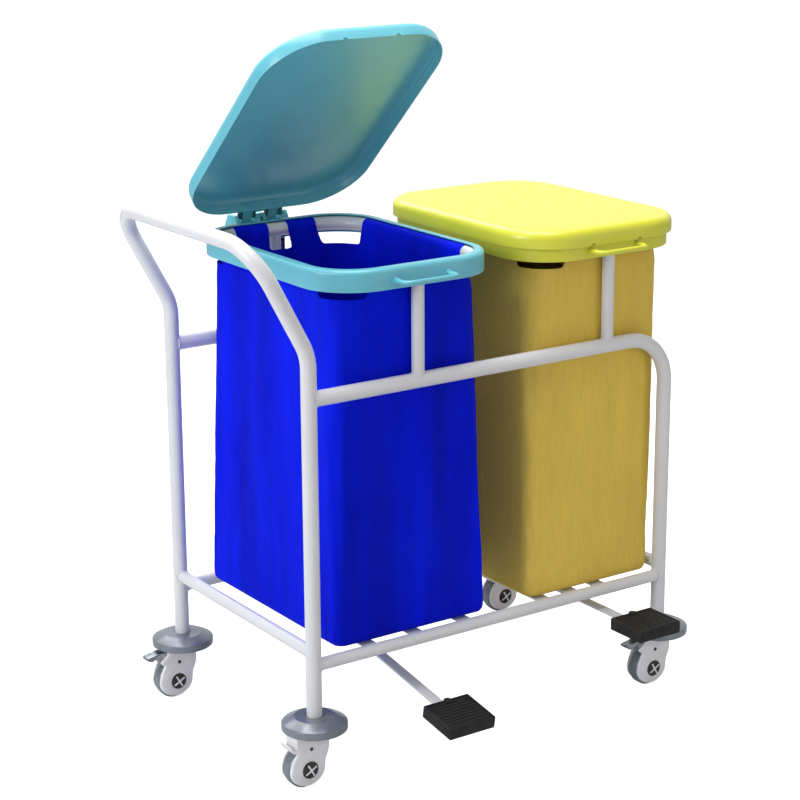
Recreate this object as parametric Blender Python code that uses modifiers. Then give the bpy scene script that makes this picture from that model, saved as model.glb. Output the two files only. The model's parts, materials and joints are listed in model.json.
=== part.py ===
"""Linen trolley: a bent tube frame on four castors that carries two bags under pedal-operated lids.

Metres, +Z up. +X runs from the push handle to the far end, and +Y from the pedal side to the hinge
side. The pieces are built about the middle of the four legs, and then moved together so that the
origin is at the bottom centre of the whole trolley's box. At rest the left lid is open, held up by
its pressed pedal, and the right lid is shut.
"""

from math import cos, pi, radians, sin, tan

import bmesh
import bpy
from mathutils import Matrix, Vector

GAP = 0.0003  # clearance left between separate pieces
CORNER_STEPS = 5  # facets in a corner of the hoop, its bag and its rim, so that they nest

# Frame
LEG_X = 0.428  # half of the leg spacing along the trolley
LEG_Y = 0.2595  # half of the leg spacing across it
TUBE_R = 0.015
RAIL_R = 0.0125
TUBE_WALL = 0.0015
LEG_END_Z = 0.1155
TOP_RAIL_Z = 0.758
LONG_RAIL_Z = 0.238
END_RAIL_Z = 0.263
HANDLE_BEND_Z = 0.841
HANDLE_X = -0.542
HANDLE_Z = 1.052
HANDLE_BEND_R = 0.100
HANDLE_CORNER_R = 0.085
LEG_CORNER_R = 0.095
SLATS_X = (-0.292, -0.184, -0.068, 0.130, 0.204, 0.276)
SLAT_W = 0.030
SLAT_T = 0.004
SLAT_TOP_Z = 0.246

# Bag stations: a hoop on two posts, a moulded rim over the hoop, a bag and a lid
STATIONS = {"left": -0.184, "right": 0.276}
RIM_X = 0.1955
RIM_Y = 0.2715
RIM_CORNER = 0.106
RIM_Z = (0.943, 0.984)
RIM_WALL = 0.0025
RIM_LIP = 0.020
RIM_ROUND = 0.008
HOOP_R = 0.014
HOOP_INSET = 0.0185  # from the rim's outer face to the hoop's centre line
HOOP_Z = 0.965
POST_Y = 0.2565
GRIP_W = 0.118
GRIP_OUT = 0.036
GRIP_R = 0.0045
GRIP_Z = 0.959
GRIP_CORNER = 0.014

# Bags
CLOTH = 0.0010
CUFF_R = HOOP_R + GAP + CLOTH / 2
CUFF_TURNS = 7
CUFF_START = -0.35  # radians below the hoop's centre on its outer side
BAG_SECTIONS = (  # half length, half depth, corner radius, height, for the part below the hoop
    (0.1640, 0.2400, 0.073, 0.935),
    (0.1675, 0.2420, 0.058, 0.900),
    (0.1700, 0.2430, 0.050, 0.780),
    (0.1735, 0.2470, 0.042, 0.600),
    (0.1765, 0.2495, 0.032, 0.400),
    (0.1780, 0.2480, 0.025, 0.300),
    (0.1775, 0.2460, 0.022, 0.262),
    (0.1740, 0.2425, 0.020, 0.2505),
    (0.1650, 0.2335, 0.016, 0.2475),
)

BAG_LEAN = {"left": 0.0, "right": -0.0219}  # how far the floor of a bag sits off the station's middle
BAG_TRIM = {"left": 0.0, "right": 0.0184}  # how much shorter its half length is there, to clear the end rail

# Lids
LID_X = 0.204
LID_Y = 0.281
LID_CORNER = 0.114
LID_Z = (0.970, 1.006)
LID_WALL = 0.003
LID_ROUND = 0.016
NOTCH_R = 0.005  # where the wire pull passes under the front edge
LID_OPEN = radians(43.2)

# Hinges
HINGE_Y = 0.325
HINGE_Z = 0.966
HINGE_W = 0.125
HINGE_R = 0.027
CHEEK_T = 0.009
RIB_W = 0.020
TRAY_Z = (-0.0225, -0.0180)  # from the hinge axis
HINGE_BACK = 0.014
SHELF_CUT = 0.014  # from the push rod's middle to the end of the shelf
PIN_R = 0.004
PIN_HEAD_R = 0.0065
PIN_HEAD_T = 0.002
PIN_PLAY = 0.0006
KNUCKLE_R = 0.012
ARM_W = 0.024
ARM_OFFSET = 0.030  # from the hinge's middle to each arm's middle
ARM_T = 0.014

# Pedals: a lever under the deck lifts a push rod, and the rod lifts a crank on the lid
PEDAL_TRAVEL = radians(9.5)
PIVOT_Y = 0.110
PIVOT_Z = 0.195
PIVOT_R = 0.005
SLEEVE_R = 0.009
LEVER_W = 0.022
LEVER_T = 0.005
LEVER_Y = (-0.425, 0.296)
PAD_X = 0.105
PAD_Y = (-0.442, -0.349)
PAD_Z = (0.190, 0.215)
PAD_ROUND = 0.002
BRACKET_T = 0.003
BRACKET_Y = 0.030
EAR_BELOW = 0.011
ROD_Y = 0.2875
ROD_X = 0.036  # from the station's middle
ROD_W = 0.012
ROD_T = 0.003
ROD_PLAY = 0.0008
FOOT_REACH = 0.008
CAP_HALF = (0.007, 0.006)
CAP_T = 0.003
GUIDE_HALF = 0.014
GUIDE_OUT = 0.008
GUIDE_T = 0.004
SLOT_PLAY = 0.0005
ROLLER_R = 0.005
CRANK_W = 0.010
ROD_LIFT = (ROD_Y - PIVOT_Y) * tan(PEDAL_TRAVEL)
CRANK_R = ROD_LIFT / (2 * sin(LID_OPEN / 2))
CRANK_TIP = (-CRANK_R * cos(LID_OPEN / 2), -CRANK_R * sin(LID_OPEN / 2))  # Y and Z from the hinge, lid shut

# Castors, measured from the swivel axis on the floor, trailing towards -X
WHEEL_R = 0.0375
WHEEL_W = 0.025
TRAIL = 0.028
TYRE_T = 0.008
AXLE_R = 0.004
CHEEK_OUT = 0.020
FORK_IN = 0.014
HUB_CAP_R = 0.017
HUB_CAP_OUT = 0.0245
HUB_CAP_AHEAD = 0.005  # from the axle to the middle of the hub cap
FORK_TOP = 0.1110
FORK_BACK = -0.053
FORK_EGG = (0.0385, 0.0345)  # half width and half height of the egg-shaped lower part
FORK_EGG_X = -0.0305
SLOT_TOP = 0.0775
STEM_R = 0.006
BUMPER_R = 0.0636
BUMPER_Z = (0.1115, 0.1380)
BRAKE_PIVOT = (-0.047, 0.1005)
BRAKED = ("rear_left", "front_right")

COLOURS = {  # base colour, metallic, roughness
    "white_powder_coat": ((0.86, 0.86, 0.87), 0.0, 0.35),
    "turquoise_plastic": ((0.16, 0.60, 0.68), 0.0, 0.35),
    "yellow_plastic": ((0.86, 0.88, 0.10), 0.0, 0.35),
    "blue_fabric": ((0.0, 0.02, 0.62), 0.0, 0.7),
    "mustard_fabric": ((0.46, 0.33, 0.07), 0.0, 0.85),
    "black_rubber": ((0.03, 0.03, 0.028), 0.0, 0.8),
    "grey_rubber": ((0.20, 0.24, 0.28), 0.0, 0.6),
    "grey_plastic": ((0.62, 0.61, 0.64), 0.0, 0.4),
    "yellow_zinc": ((0.55, 0.45, 0.12), 1.0, 0.35),
    "bright_zinc": ((0.62, 0.64, 0.66), 1.0, 0.3),
}


def clear_scene():
    for obj in list(bpy.data.objects):
        bpy.data.objects.remove(obj, do_unlink=True)


def collection(name):
    made = bpy.data.collections.new(name)
    bpy.context.scene.collection.children.link(made)
    return made


def material(name):
    made = bpy.data.materials.get(name)
    if made is None:
        colour, metallic, roughness = COLOURS[name]
        made = bpy.data.materials.new(name)
        made.use_nodes = True
        shader = made.node_tree.nodes["Principled BSDF"]
        shader.inputs["Base Color"].default_value = (*colour, 1.0)
        shader.inputs["Metallic"].default_value = metallic
        shader.inputs["Roughness"].default_value = roughness
    return made


def add(name, mesh):
    obj = bpy.data.objects.new(name, mesh)
    PARTS.objects.link(obj)
    return obj


def evaluated_mesh(obj):
    depsgraph = bpy.context.evaluated_depsgraph_get()
    return bpy.data.meshes.new_from_object(obj.evaluated_get(depsgraph))


def bake(obj):
    """Turns an object with modifiers, or a curve, into a plain mesh object of the same name."""
    name = obj.name
    mesh = evaluated_mesh(obj)
    mesh.transform(obj.matrix_world)
    bpy.data.objects.remove(obj, do_unlink=True)
    welded = bmesh.new()
    welded.from_mesh(mesh)
    bmesh.ops.remove_doubles(welded, verts=welded.verts, dist=0.00001)
    welded.to_mesh(mesh)
    welded.free()
    return add(name, mesh)


def combine(base, others, operation):
    for other in others:
        modifier = base.modifiers.new(operation.title(), "BOOLEAN")
        modifier.operation = operation
        modifier.object = other
    made = bake(base)
    for other in others:
        bpy.data.objects.remove(other, do_unlink=True)
    return made


def finish(obj, material_name, origin=(0.0, 0.0, 0.0), tilt=0.0):
    """Colours and smooths a piece built in world coordinates, and moves its origin onto its joint axis."""
    obj.data.materials.clear()
    obj.data.materials.append(material(material_name))
    obj.data.shade_smooth()
    obj.data.set_sharp_from_angle(angle=radians(35))
    obj.data.transform(Matrix.Translation(-Vector(origin)))
    obj.location = origin
    obj.rotation_euler.x = tilt
    return obj


def box(name, low, high):
    bm = bmesh.new()
    bmesh.ops.create_cube(bm, size=1.0)
    size = Vector(high) - Vector(low)
    bmesh.ops.scale(bm, vec=size, verts=bm.verts)
    bmesh.ops.translate(bm, vec=Vector(low) + size / 2, verts=bm.verts)
    return from_bmesh(name, bm)


def beam(name, start, end, thickness, x_low, x_high):
    """A bar across x_low to x_high whose middle line runs from start to end in the YZ plane."""
    along = Vector((0.0, end[0] - start[0], end[1] - start[1]))
    bar = box(name, (x_low, 0.0, -thickness / 2), (x_high, along.length, thickness / 2))
    turn = Matrix.Rotation(along.yz.angle_signed(Vector((1.0, 0.0))), 4, "X")
    bar.data.transform(Matrix.Translation((0.0, start[0], start[1])) @ turn)
    return bar


def rod(name, radius, start, end, segments=16):
    """A plain cylinder from start to end."""
    start, end = Vector(start), Vector(end)
    along = end - start
    bm = bmesh.new()
    bmesh.ops.create_cone(
        bm, cap_ends=True, segments=segments, radius1=radius, radius2=radius, depth=along.length
    )
    turn = Vector((0.0, 0.0, 1.0)).rotation_difference(along).to_matrix().to_4x4()
    bmesh.ops.transform(bm, matrix=Matrix.Translation((start + end) / 2) @ turn, verts=bm.verts)
    return from_bmesh(name, bm)


def from_bmesh(name, bm):
    mesh = bpy.data.meshes.new(name)
    bmesh.ops.recalc_face_normals(bm, faces=bm.faces)
    bm.to_mesh(mesh)
    bm.free()
    return add(name, mesh)


def turned(name, profile, axis_at, axis="Z", steps=18):
    """A solid of revolution. The profile is (radius, height) points, top to bottom on the outer side."""
    curve = bmesh.new()
    verts = [curve.verts.new((radius, 0.0, height)) for radius, height in profile]
    ends = verts[1:] + ([verts[0]] if profile[-1][0] > 0 else [])
    for first, second in zip(verts, ends):
        curve.edges.new((first, second))
    mesh = bpy.data.meshes.new(name)
    curve.to_mesh(mesh)
    curve.free()
    obj = add(name, mesh)
    screw = obj.modifiers.new("Screw", "SCREW")
    screw.steps = steps
    screw.render_steps = steps
    screw.use_merge_vertices = True
    screw.merge_threshold = 0.00001
    if axis == "Y":
        obj.rotation_euler.x = radians(90)
    if axis == "X":
        obj.rotation_euler.y = radians(90)
    obj.location = axis_at
    bpy.context.view_layer.update()
    return bake(obj)


def filleted(corners, radius, step=radians(12)):
    """The corner points of an open path, with each inner corner replaced by an arc."""
    path = [Vector(corners[0])]
    radii = radius if isinstance(radius, tuple) else (radius,) * (len(corners) - 2)
    for before, corner, after, bend in zip(corners, corners[1:], corners[2:], radii):
        corner = Vector(corner)
        back = (Vector(before) - corner).normalized()
        ahead = (Vector(after) - corner).normalized()
        turn = pi - back.angle(ahead)
        middle = corner + (back + ahead).normalized() * bend / cos(turn / 2)
        first = corner + back * bend * tan(turn / 2) - middle
        axis = back.cross(ahead)
        count = max(2, round(turn / step))
        for index in range(count + 1):
            spin = Matrix.Rotation(-turn * index / count, 3, axis)
            path.append(middle + spin @ first)
    path.append(Vector(corners[-1]))
    return path


def rounded_outline(half_x, half_y, corner):
    """Counter-clockwise points of a rounded rectangle about the origin."""
    points = []
    for index, (side_x, side_y) in enumerate(((1, 1), (-1, 1), (-1, -1), (1, -1))):
        for step in range(CORNER_STEPS + 1):
            angle = (index + step / CORNER_STEPS) * pi / 2
            points.append(
                (
                    side_x * (half_x - corner) + corner * cos(angle),
                    side_y * (half_y - corner) + corner * sin(angle),
                )
            )
    return points


def curve_from(name, path, radius, resolution, caps=False):
    curve = bpy.data.curves.new(name, "CURVE")
    curve.dimensions = "3D"
    curve.bevel_depth = radius
    curve.bevel_resolution = resolution
    curve.use_fill_caps = caps
    spline = curve.splines.new("POLY")
    spline.points.add(len(path) - 1)
    for point, place in zip(spline.points, path):
        point.co = (*place, 1.0)
    return add(name, curve)


def tube(name, path, radius, copes=(), resolution=2):
    """A hollow tube along a path. Each cope is (radius, start, end) of a neighbour that trims it."""
    obj = bake(curve_from(name, path, radius, resolution))
    solidify = obj.modifiers.new("Solidify", "SOLIDIFY")
    solidify.thickness = TUBE_WALL
    solidify.offset = -1.0
    cutters = [rod("cope", r + GAP, start, end, 24) for r, start, end in copes]
    return combine(obj, cutters, "DIFFERENCE")


def leg_line(x, y):
    return TUBE_R, (x, y, 0.05), (x, y, 0.95)


def build_handle():
    """One tube that makes both handle-end legs and the push bar."""
    corners = [
        (-LEG_X, -LEG_Y, LEG_END_Z),
        (-LEG_X, -LEG_Y, HANDLE_BEND_Z),
        (HANDLE_X, -LEG_Y, HANDLE_Z),
        (HANDLE_X, LEG_Y, HANDLE_Z),
        (-LEG_X, LEG_Y, HANDLE_BEND_Z),
        (-LEG_X, LEG_Y, LEG_END_Z),
    ]
    bends = (HANDLE_BEND_R, HANDLE_CORNER_R, HANDLE_CORNER_R, HANDLE_BEND_R)
    finish(tube("handle_tube", filleted(corners, bends), TUBE_R), "white_powder_coat")


def build_side(name, y):
    """A top rail that bends down into a far-end leg."""
    corners = [(-LEG_X, y, TOP_RAIL_Z), (LEG_X, y, TOP_RAIL_Z), (LEG_X, y, LEG_END_Z)]
    side = tube(name, filleted(corners, LEG_CORNER_R), TUBE_R, [leg_line(-LEG_X, y)])
    finish(largest_piece(side), "white_powder_coat")


def largest_piece(obj):
    """Drops the offcut that a cope leaves when a tube starts on its neighbour's centre line."""
    bm = bmesh.new()
    bm.from_mesh(obj.data)
    pieces = []
    left = set(bm.verts)
    while left:
        stack = [left.pop()]
        piece = set(stack)
        while stack:
            for edge in stack.pop().link_edges:
                for vert in edge.verts:
                    if vert in left:
                        left.remove(vert)
                        piece.add(vert)
                        stack.append(vert)
        pieces.append(piece)
    keep = max(pieces, key=len)
    bmesh.ops.delete(bm, geom=[vert for vert in bm.verts if vert not in keep], context="VERTS")
    bm.to_mesh(obj.data)
    bm.free()
    return obj


def build_bottom_rails():
    for name, y in (("front_bottom_rail", -LEG_Y), ("rear_bottom_rail", LEG_Y)):
        path = [(-LEG_X, y, LONG_RAIL_Z), (LEG_X, y, LONG_RAIL_Z)]
        rail = tube(name, path, RAIL_R, [leg_line(-LEG_X, y), leg_line(LEG_X, y)])
        finish(largest_piece(rail), "white_powder_coat")
    for name, x in (("left_end_rail", -LEG_X), ("right_end_rail", LEG_X)):
        path = [(x, -LEG_Y, END_RAIL_Z), (x, LEG_Y, END_RAIL_Z)]
        rail = tube(name, path, RAIL_R, [leg_line(x, -LEG_Y), leg_line(x, LEG_Y)])
        finish(largest_piece(rail), "white_powder_coat")


def build_slats():
    """Flat bars across the deck, trimmed to the long bottom rails."""
    for number, x in enumerate(SLATS_X, 1):
        low = (x - SLAT_W / 2, -LEG_Y, SLAT_TOP_Z - SLAT_T)
        slat = box(f"deck_slat_{number}", low, (x + SLAT_W / 2, LEG_Y, SLAT_TOP_Z))
        cutters = [
            rod("cope", RAIL_R + GAP, (-LEG_X, y, LONG_RAIL_Z), (LEG_X, y, LONG_RAIL_Z), 24)
            for y in (-LEG_Y, LEG_Y)
        ]
        finish(largest_piece(combine(slat, cutters, "DIFFERENCE")), "white_powder_coat")


def build_posts(side, x):
    """The two posts that stand on the top rails and carry a hoop."""
    for name, sign in (("front", -1), ("rear", 1)):
        path = [(x, sign * POST_Y, TOP_RAIL_Z), (x, sign * POST_Y, HOOP_Z)]
        hoop_y = sign * (RIM_Y - HOOP_INSET)
        copes = [
            (TUBE_R, (x - 0.05, sign * LEG_Y, TOP_RAIL_Z), (x + 0.05, sign * LEG_Y, TOP_RAIL_Z)),
            (HOOP_R + CLOTH + 2 * GAP, (x - 0.05, hoop_y, HOOP_Z), (x + 0.05, hoop_y, HOOP_Z)),
        ]
        post = tube(f"{name}_post_{side}", path, RAIL_R, copes)
        finish(largest_piece(post), "white_powder_coat")


def build_hoop(side, x):
    """The tube hoop that a bag hangs from, with its butt joint at the rear."""
    rear = RIM_Y - HOOP_INSET
    outline = rounded_outline(RIM_X - HOOP_INSET, rear, RIM_CORNER - HOOP_INSET)
    split = CORNER_STEPS + 1
    around = [(-GAP, rear), *outline[split:], *outline[:split], (GAP, rear)]
    path = [(x + px, py, HOOP_Z) for px, py in around]
    finish(tube(f"hoop_{side}", path, HOOP_R, resolution=1), "white_powder_coat")


def rounded_shell(name, half_x, half_y, corner, z_low, z_high, edge_round):
    """A rounded rectangular box that is open underneath, with a rounded top edge."""
    bm = bmesh.new()
    bmesh.ops.create_cube(bm, size=1.0)
    size = Vector((2 * half_x, 2 * half_y, z_high - z_low))
    bmesh.ops.scale(bm, vec=size, verts=bm.verts)
    bmesh.ops.translate(bm, vec=(0.0, 0.0, (z_low + z_high) / 2), verts=bm.verts)
    upright = [e for e in bm.edges if abs(e.verts[0].co.z - e.verts[1].co.z) > size.z / 2]
    bmesh.ops.bevel(bm, geom=upright, offset=corner, segments=CORNER_STEPS, profile=0.5, affect="EDGES")
    floor = [f for f in bm.faces if f.normal.z < -0.9]
    bmesh.ops.delete(bm, geom=floor, context="FACES")
    roof = [f for f in bm.faces if f.normal.z > 0.9][0]
    bmesh.ops.bevel(bm, geom=list(roof.edges), offset=edge_round, segments=2, profile=0.5, affect="EDGES")
    return bm


def build_rim(side, x, colour):
    """The moulded rim that covers the hoop: an outer wall with a lip turned in over the top."""
    bm = rounded_shell("rim", RIM_X, RIM_Y, RIM_CORNER, *RIM_Z, RIM_ROUND)
    roof = max((f for f in bm.faces if f.normal.z > 0.9), key=lambda f: f.calc_area())
    bmesh.ops.inset_region(bm, faces=[roof], thickness=RIM_LIP - RIM_ROUND, use_even_offset=True)
    bmesh.ops.delete(bm, geom=[roof], context="FACES")
    bmesh.ops.translate(bm, vec=(x, 0.0, 0.0), verts=bm.verts)
    rim = from_bmesh(f"rim_{side}", bm)
    solidify = rim.modifiers.new("Solidify", "SOLIDIFY")
    solidify.thickness = RIM_WALL
    solidify.offset = -1.0
    solidify.use_even_offset = True
    finish(bake(rim), colour)


def build_grip(side, x, colour):
    """The wire pull at the front of a rim."""
    front = -(RIM_Y + GAP)
    corners = [
        (x - GRIP_W / 2, front, GRIP_Z),
        (x - GRIP_W / 2, front - GRIP_OUT, GRIP_Z),
        (x + GRIP_W / 2, front - GRIP_OUT, GRIP_Z),
        (x + GRIP_W / 2, front, GRIP_Z),
    ]
    path = filleted(corners, GRIP_CORNER, radians(30))
    finish(bake(curve_from(f"rim_grip_{side}", path, GRIP_R, 1, caps=True)), colour)


def bag_sections(side):
    """Every level of a bag from the cuff's outer edge, over the hoop and down to the floor of the bag.

    A level is its shift along X, half length, half depth, corner radius and height.
    """
    hoop_x, hoop_y = RIM_X - HOOP_INSET, RIM_Y - HOOP_INSET
    hoop_corner = RIM_CORNER - HOOP_INSET
    levels = []
    step = (pi - CUFF_START) / CUFF_TURNS
    reach = CUFF_R / cos(step / 2)
    for index in range(CUFF_TURNS + 1):
        angle = CUFF_START + step * index
        out = reach * cos(angle)
        size = (hoop_x + out, hoop_y + out, hoop_corner + out)
        levels.append((0.0, *size, HOOP_Z + reach * sin(angle)))
    top, floor = BAG_SECTIONS[0][3], BAG_SECTIONS[-1][3]
    for half_x, half_y, corner, z in BAG_SECTIONS:
        depth = (top - z) / (top - floor)
        levels.append((BAG_LEAN[side] * depth, half_x - BAG_TRIM[side] * depth, half_y, corner, z))
    return levels


def build_bag(side, x, colour):
    """A loft through rounded rectangles whose corners tighten towards the deck, thickened to cloth."""
    bm = bmesh.new()
    rings = []
    for shift, half_x, half_y, corner, z in bag_sections(side):
        outline = rounded_outline(half_x, half_y, corner)
        rings.append([bm.verts.new((x + shift + px, py, z)) for px, py in outline])
    for upper, lower in zip(rings, rings[1:]):
        for index, vert in enumerate(upper):
            following = (index + 1) % len(upper)
            bm.faces.new((vert, upper[following], lower[following], lower[index]))
    bm.faces.new(rings[-1])
    bag = from_bmesh(f"bag_{side}", bm)
    solidify = bag.modifiers.new("Solidify", "SOLIDIFY")
    solidify.thickness = CLOTH
    solidify.offset = 0.0
    finish(bake(bag), colour)


def build_hinge(side, x):
    """The bracket behind a rim: two six-sided cheeks and a middle rib on a tray, with the pin they hold."""
    half = HINGE_W / 2

    def cheek(x_low, x_high):
        start = (x_low, HINGE_Y, HINGE_Z)
        piece = rod("cheek", HINGE_R, start, (x_high, HINGE_Y, HINGE_Z), 6)
        turn = Matrix.Translation(start) @ Matrix.Rotation(cheek_turn(piece, start), 4, "X")
        piece.data.transform(turn @ Matrix.Translation(-Vector(start)))
        return piece

    low, high = (HINGE_Z + z for z in TRAY_Z)
    rear = HINGE_Y + HINGE_BACK
    left, right = x - half, x + half
    shelf_end = x + ROD_X - SHELF_CUT
    # The plates are offset from each other by fractions of a millimetre, so that no two faces coincide.
    plates = (
        ((left + 0.002, HINGE_Y - 0.013, low), (right - 0.002, rear + 0.002, high)),
        ((left + 0.001, rear, low - 0.001), (right - 0.001, rear + 0.004, HINGE_Z + 0.006)),
        ((left + 0.003, RIM_Y + 0.002, low + 0.0005), (shelf_end, HINGE_Y, high - 0.0005)),
        ((left, RIM_Y + GAP, low - 0.0015), (shelf_end + 0.001, RIM_Y + 0.004, HINGE_Z - 0.001)),
    )
    pieces = [
        cheek(right - CHEEK_T, right),
        cheek(x - RIB_W / 2, x + RIB_W / 2),
        *(box("plate", *corners) for corners in plates),
    ]
    bracket = combine(cheek(left, left + CHEEK_T), pieces, "UNION")
    bracket.name = f"hinge_bracket_{side}"
    bore = rod("bore", PIN_R + GAP, (left - 0.01, HINGE_Y, HINGE_Z), (right + 0.01, HINGE_Y, HINGE_Z))
    colour = "turquoise_plastic" if side == "left" else "yellow_plastic"
    finish(combine(bracket, [bore], "DIFFERENCE"), colour)
    head = half + PIN_PLAY
    upper = [(0.0, head + PIN_HEAD_T), (PIN_HEAD_R, head + PIN_HEAD_T), (PIN_HEAD_R, head), (PIN_R, head)]
    profile = upper + [(radius, -height) for radius, height in reversed(upper)]
    pin = turned(f"hinge_pin_{side}", profile, (x, HINGE_Y, HINGE_Z), "X", 16)
    finish(pin, "yellow_zinc")


def cheek_turn(piece, start):
    """The turn about X that points one corner of a six-sided cheek straight at the rim."""
    corner = min(piece.data.vertices, key=lambda v: v.co.y)
    return -Vector((-1.0, 0.0)).angle_signed(Vector((corner.co.y - start[1], corner.co.z - start[2])))


def build_lid(side, x, colour, tilt):
    """A shallow moulded lid with two hinge arms and the crank that the push rod lifts."""
    bm = rounded_shell("lid", LID_X, LID_Y, LID_CORNER, *LID_Z, LID_ROUND)
    bmesh.ops.translate(bm, vec=(x, 0.0, 0.0), verts=bm.verts)
    shell = from_bmesh("shell", bm)
    solidify = shell.modifiers.new("Solidify", "SOLIDIFY")
    solidify.thickness = LID_WALL
    solidify.offset = -1.0
    solidify.use_even_offset = True
    shell = bake(shell)
    shell.name = f"lid_{side}"
    axis = (HINGE_Y, HINGE_Z)
    tip = (HINGE_Y + CRANK_TIP[0], HINGE_Z + CRANK_TIP[1])
    arm_end = (LID_Y - 0.004, LID_Z[1] - 0.017)
    joined = []
    for middle in (x - ARM_OFFSET, x + ARM_OFFSET):
        low, high = middle - ARM_W / 2, middle + ARM_W / 2
        joined.append(rod("knuckle", KNUCKLE_R, (low, *axis), (high, *axis)))
        joined.append(beam("arm", axis, arm_end, ARM_T, low + 0.001, high - 0.001))
    low, high = x + ROD_X - CRANK_W / 2, x + ROD_X + CRANK_W / 2
    joined.append(beam("crank", axis, tip, ROLLER_R, low, high))
    joined.append(rod("roller", ROLLER_R, (low - 0.001, *tip), (high + 0.0008, *tip), 12))
    lid = combine(shell, joined, "UNION")
    bore = rod("bore", PIN_R + GAP, (x - 0.1, *axis), (x + 0.1, *axis))
    notches = []
    for middle in (x - GRIP_W / 2, x + GRIP_W / 2):
        start = (middle, -LID_Y - 0.02, LID_Z[0])
        notches.append(rod("notch", NOTCH_R, start, (middle, -LID_Y + 0.02, LID_Z[0]), 10))
    lid = combine(lid, [bore, *notches], "DIFFERENCE")
    finish(lid, colour, (x, *axis), tilt)


def build_pedal(side, x, tilt):
    """A flat lever with its pivot sleeve, the rubber pad on its end and the bracket that holds it."""
    pivot = (x, PIVOT_Y, PIVOT_Z)
    half, flat = LEVER_W / 2, LEVER_T / 2

    def across(reach):
        return (x - reach, PIVOT_Y, PIVOT_Z), (x + reach, PIVOT_Y, PIVOT_Z)

    low, high = (x - half, LEVER_Y[0], PIVOT_Z - flat), (x + half, LEVER_Y[1], PIVOT_Z + flat)
    lever = box(f"pedal_lever_{side}", low, high)
    lever = combine(lever, [rod("sleeve", SLEEVE_R, *across(half))], "UNION")
    bore = rod("bore", PIVOT_R + GAP, *across(0.03))
    finish(combine(lever, [bore], "DIFFERENCE"), "white_powder_coat", pivot, tilt)

    low, high = (x - PAD_X / 2, PAD_Y[0], PAD_Z[0]), (x + PAD_X / 2, PAD_Y[1], PAD_Z[1])
    pad = box(f"pedal_pad_{side}", low, high)
    bevel = pad.modifiers.new("Bevel", "BEVEL")
    bevel.width = PAD_ROUND
    bevel.segments = 2
    low = (x - half - GAP, LEVER_Y[0] - GAP, PIVOT_Z - flat - GAP)
    pocket = box("pocket", low, (x + half + GAP, PAD_Y[1] + 0.02, PIVOT_Z + flat + GAP))
    finish(combine(pad, [pocket], "DIFFERENCE"), "black_rubber", pivot, tilt)

    inner = half + 0.001
    outer = inner + BRACKET_T
    top = SLAT_TOP_Z - SLAT_T - GAP
    front, rear = PIVOT_Y - BRACKET_Y / 2, PIVOT_Y + BRACKET_Y / 2
    ears = [
        box("ear", (x + a, front, PIVOT_Z - EAR_BELOW), (x + b, rear, top))
        for a, b in ((-outer, -inner), (inner, outer))
    ]
    pin = rod("pin", PIVOT_R, *across(outer + 0.003))
    bridge = box(f"pedal_bracket_{side}", (x - outer, front, top - BRACKET_T), (x + outer, rear, top))
    finish(combine(bridge, [*ears, pin], "UNION"), "bright_zinc")


def build_push_rod(side, x, lift):
    """The flat strip between the lever's rear end and the lid's crank, and its guide on the top rail."""
    centre = x + ROD_X
    foot = PIVOT_Z + LEVER_T / 2 + ROD_PLAY
    head = HINGE_Z + CRANK_TIP[1] - ROLLER_R - ROD_PLAY
    half, flat = ROD_W / 2, ROD_T / 2
    low, high = (centre - half, ROD_Y - flat, foot), (centre + half, ROD_Y + flat, head)
    strip = box(f"push_rod_{side}", low, high)
    toe = flat + 0.0003
    low = (x - FOOT_REACH, ROD_Y - toe, foot - 0.0001)
    shelf = box("foot", low, (centre + half - 0.001, ROD_Y + toe, foot + 0.004))
    low = (centre - CAP_HALF[0], ROD_Y - CAP_HALF[1], head - CAP_T)
    cap = box("cap", low, (centre + CAP_HALF[0], ROD_Y + CAP_HALF[1], head))
    moving = finish(combine(strip, [shelf, cap], "UNION"), "yellow_zinc", (centre, ROD_Y, foot))
    moving.location.z += lift

    low = (centre - GUIDE_HALF, LEG_Y + TUBE_R + GAP, TOP_RAIL_Z - GUIDE_T / 2)
    high = (centre + GUIDE_HALF, ROD_Y + GUIDE_OUT, TOP_RAIL_Z + GUIDE_T / 2)
    guide = box(f"rod_guide_{side}", low, high)
    wide, deep = half + SLOT_PLAY, flat + SLOT_PLAY
    low = (centre - wide, ROD_Y - deep, TOP_RAIL_Z - GUIDE_T)
    slot = box("slot", low, (centre + wide, ROD_Y + deep, TOP_RAIL_Z + GUIDE_T))
    finish(combine(guide, [slot], "DIFFERENCE"), "bright_zinc")


def fork_outline():
    """Side view of a castor fork: an egg about the axle that rises into a block under the bumper."""
    wide, tall = FORK_EGG
    points = [(FORK_BACK, FORK_TOP), (FORK_BACK, 0.0845), (-0.0605, 0.0785), (-0.0595, 0.0720)]
    turns = 10
    for index in range(turns + 1):
        angle = radians(155) + radians(205) * index / turns
        points.append((FORK_EGG_X + wide * cos(angle), WHEEL_R + tall * sin(angle)))
    return points + [(0.0095, 0.052), (0.0145, 0.066), (0.0180, 0.078), (0.0180, FORK_TOP)]


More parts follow.
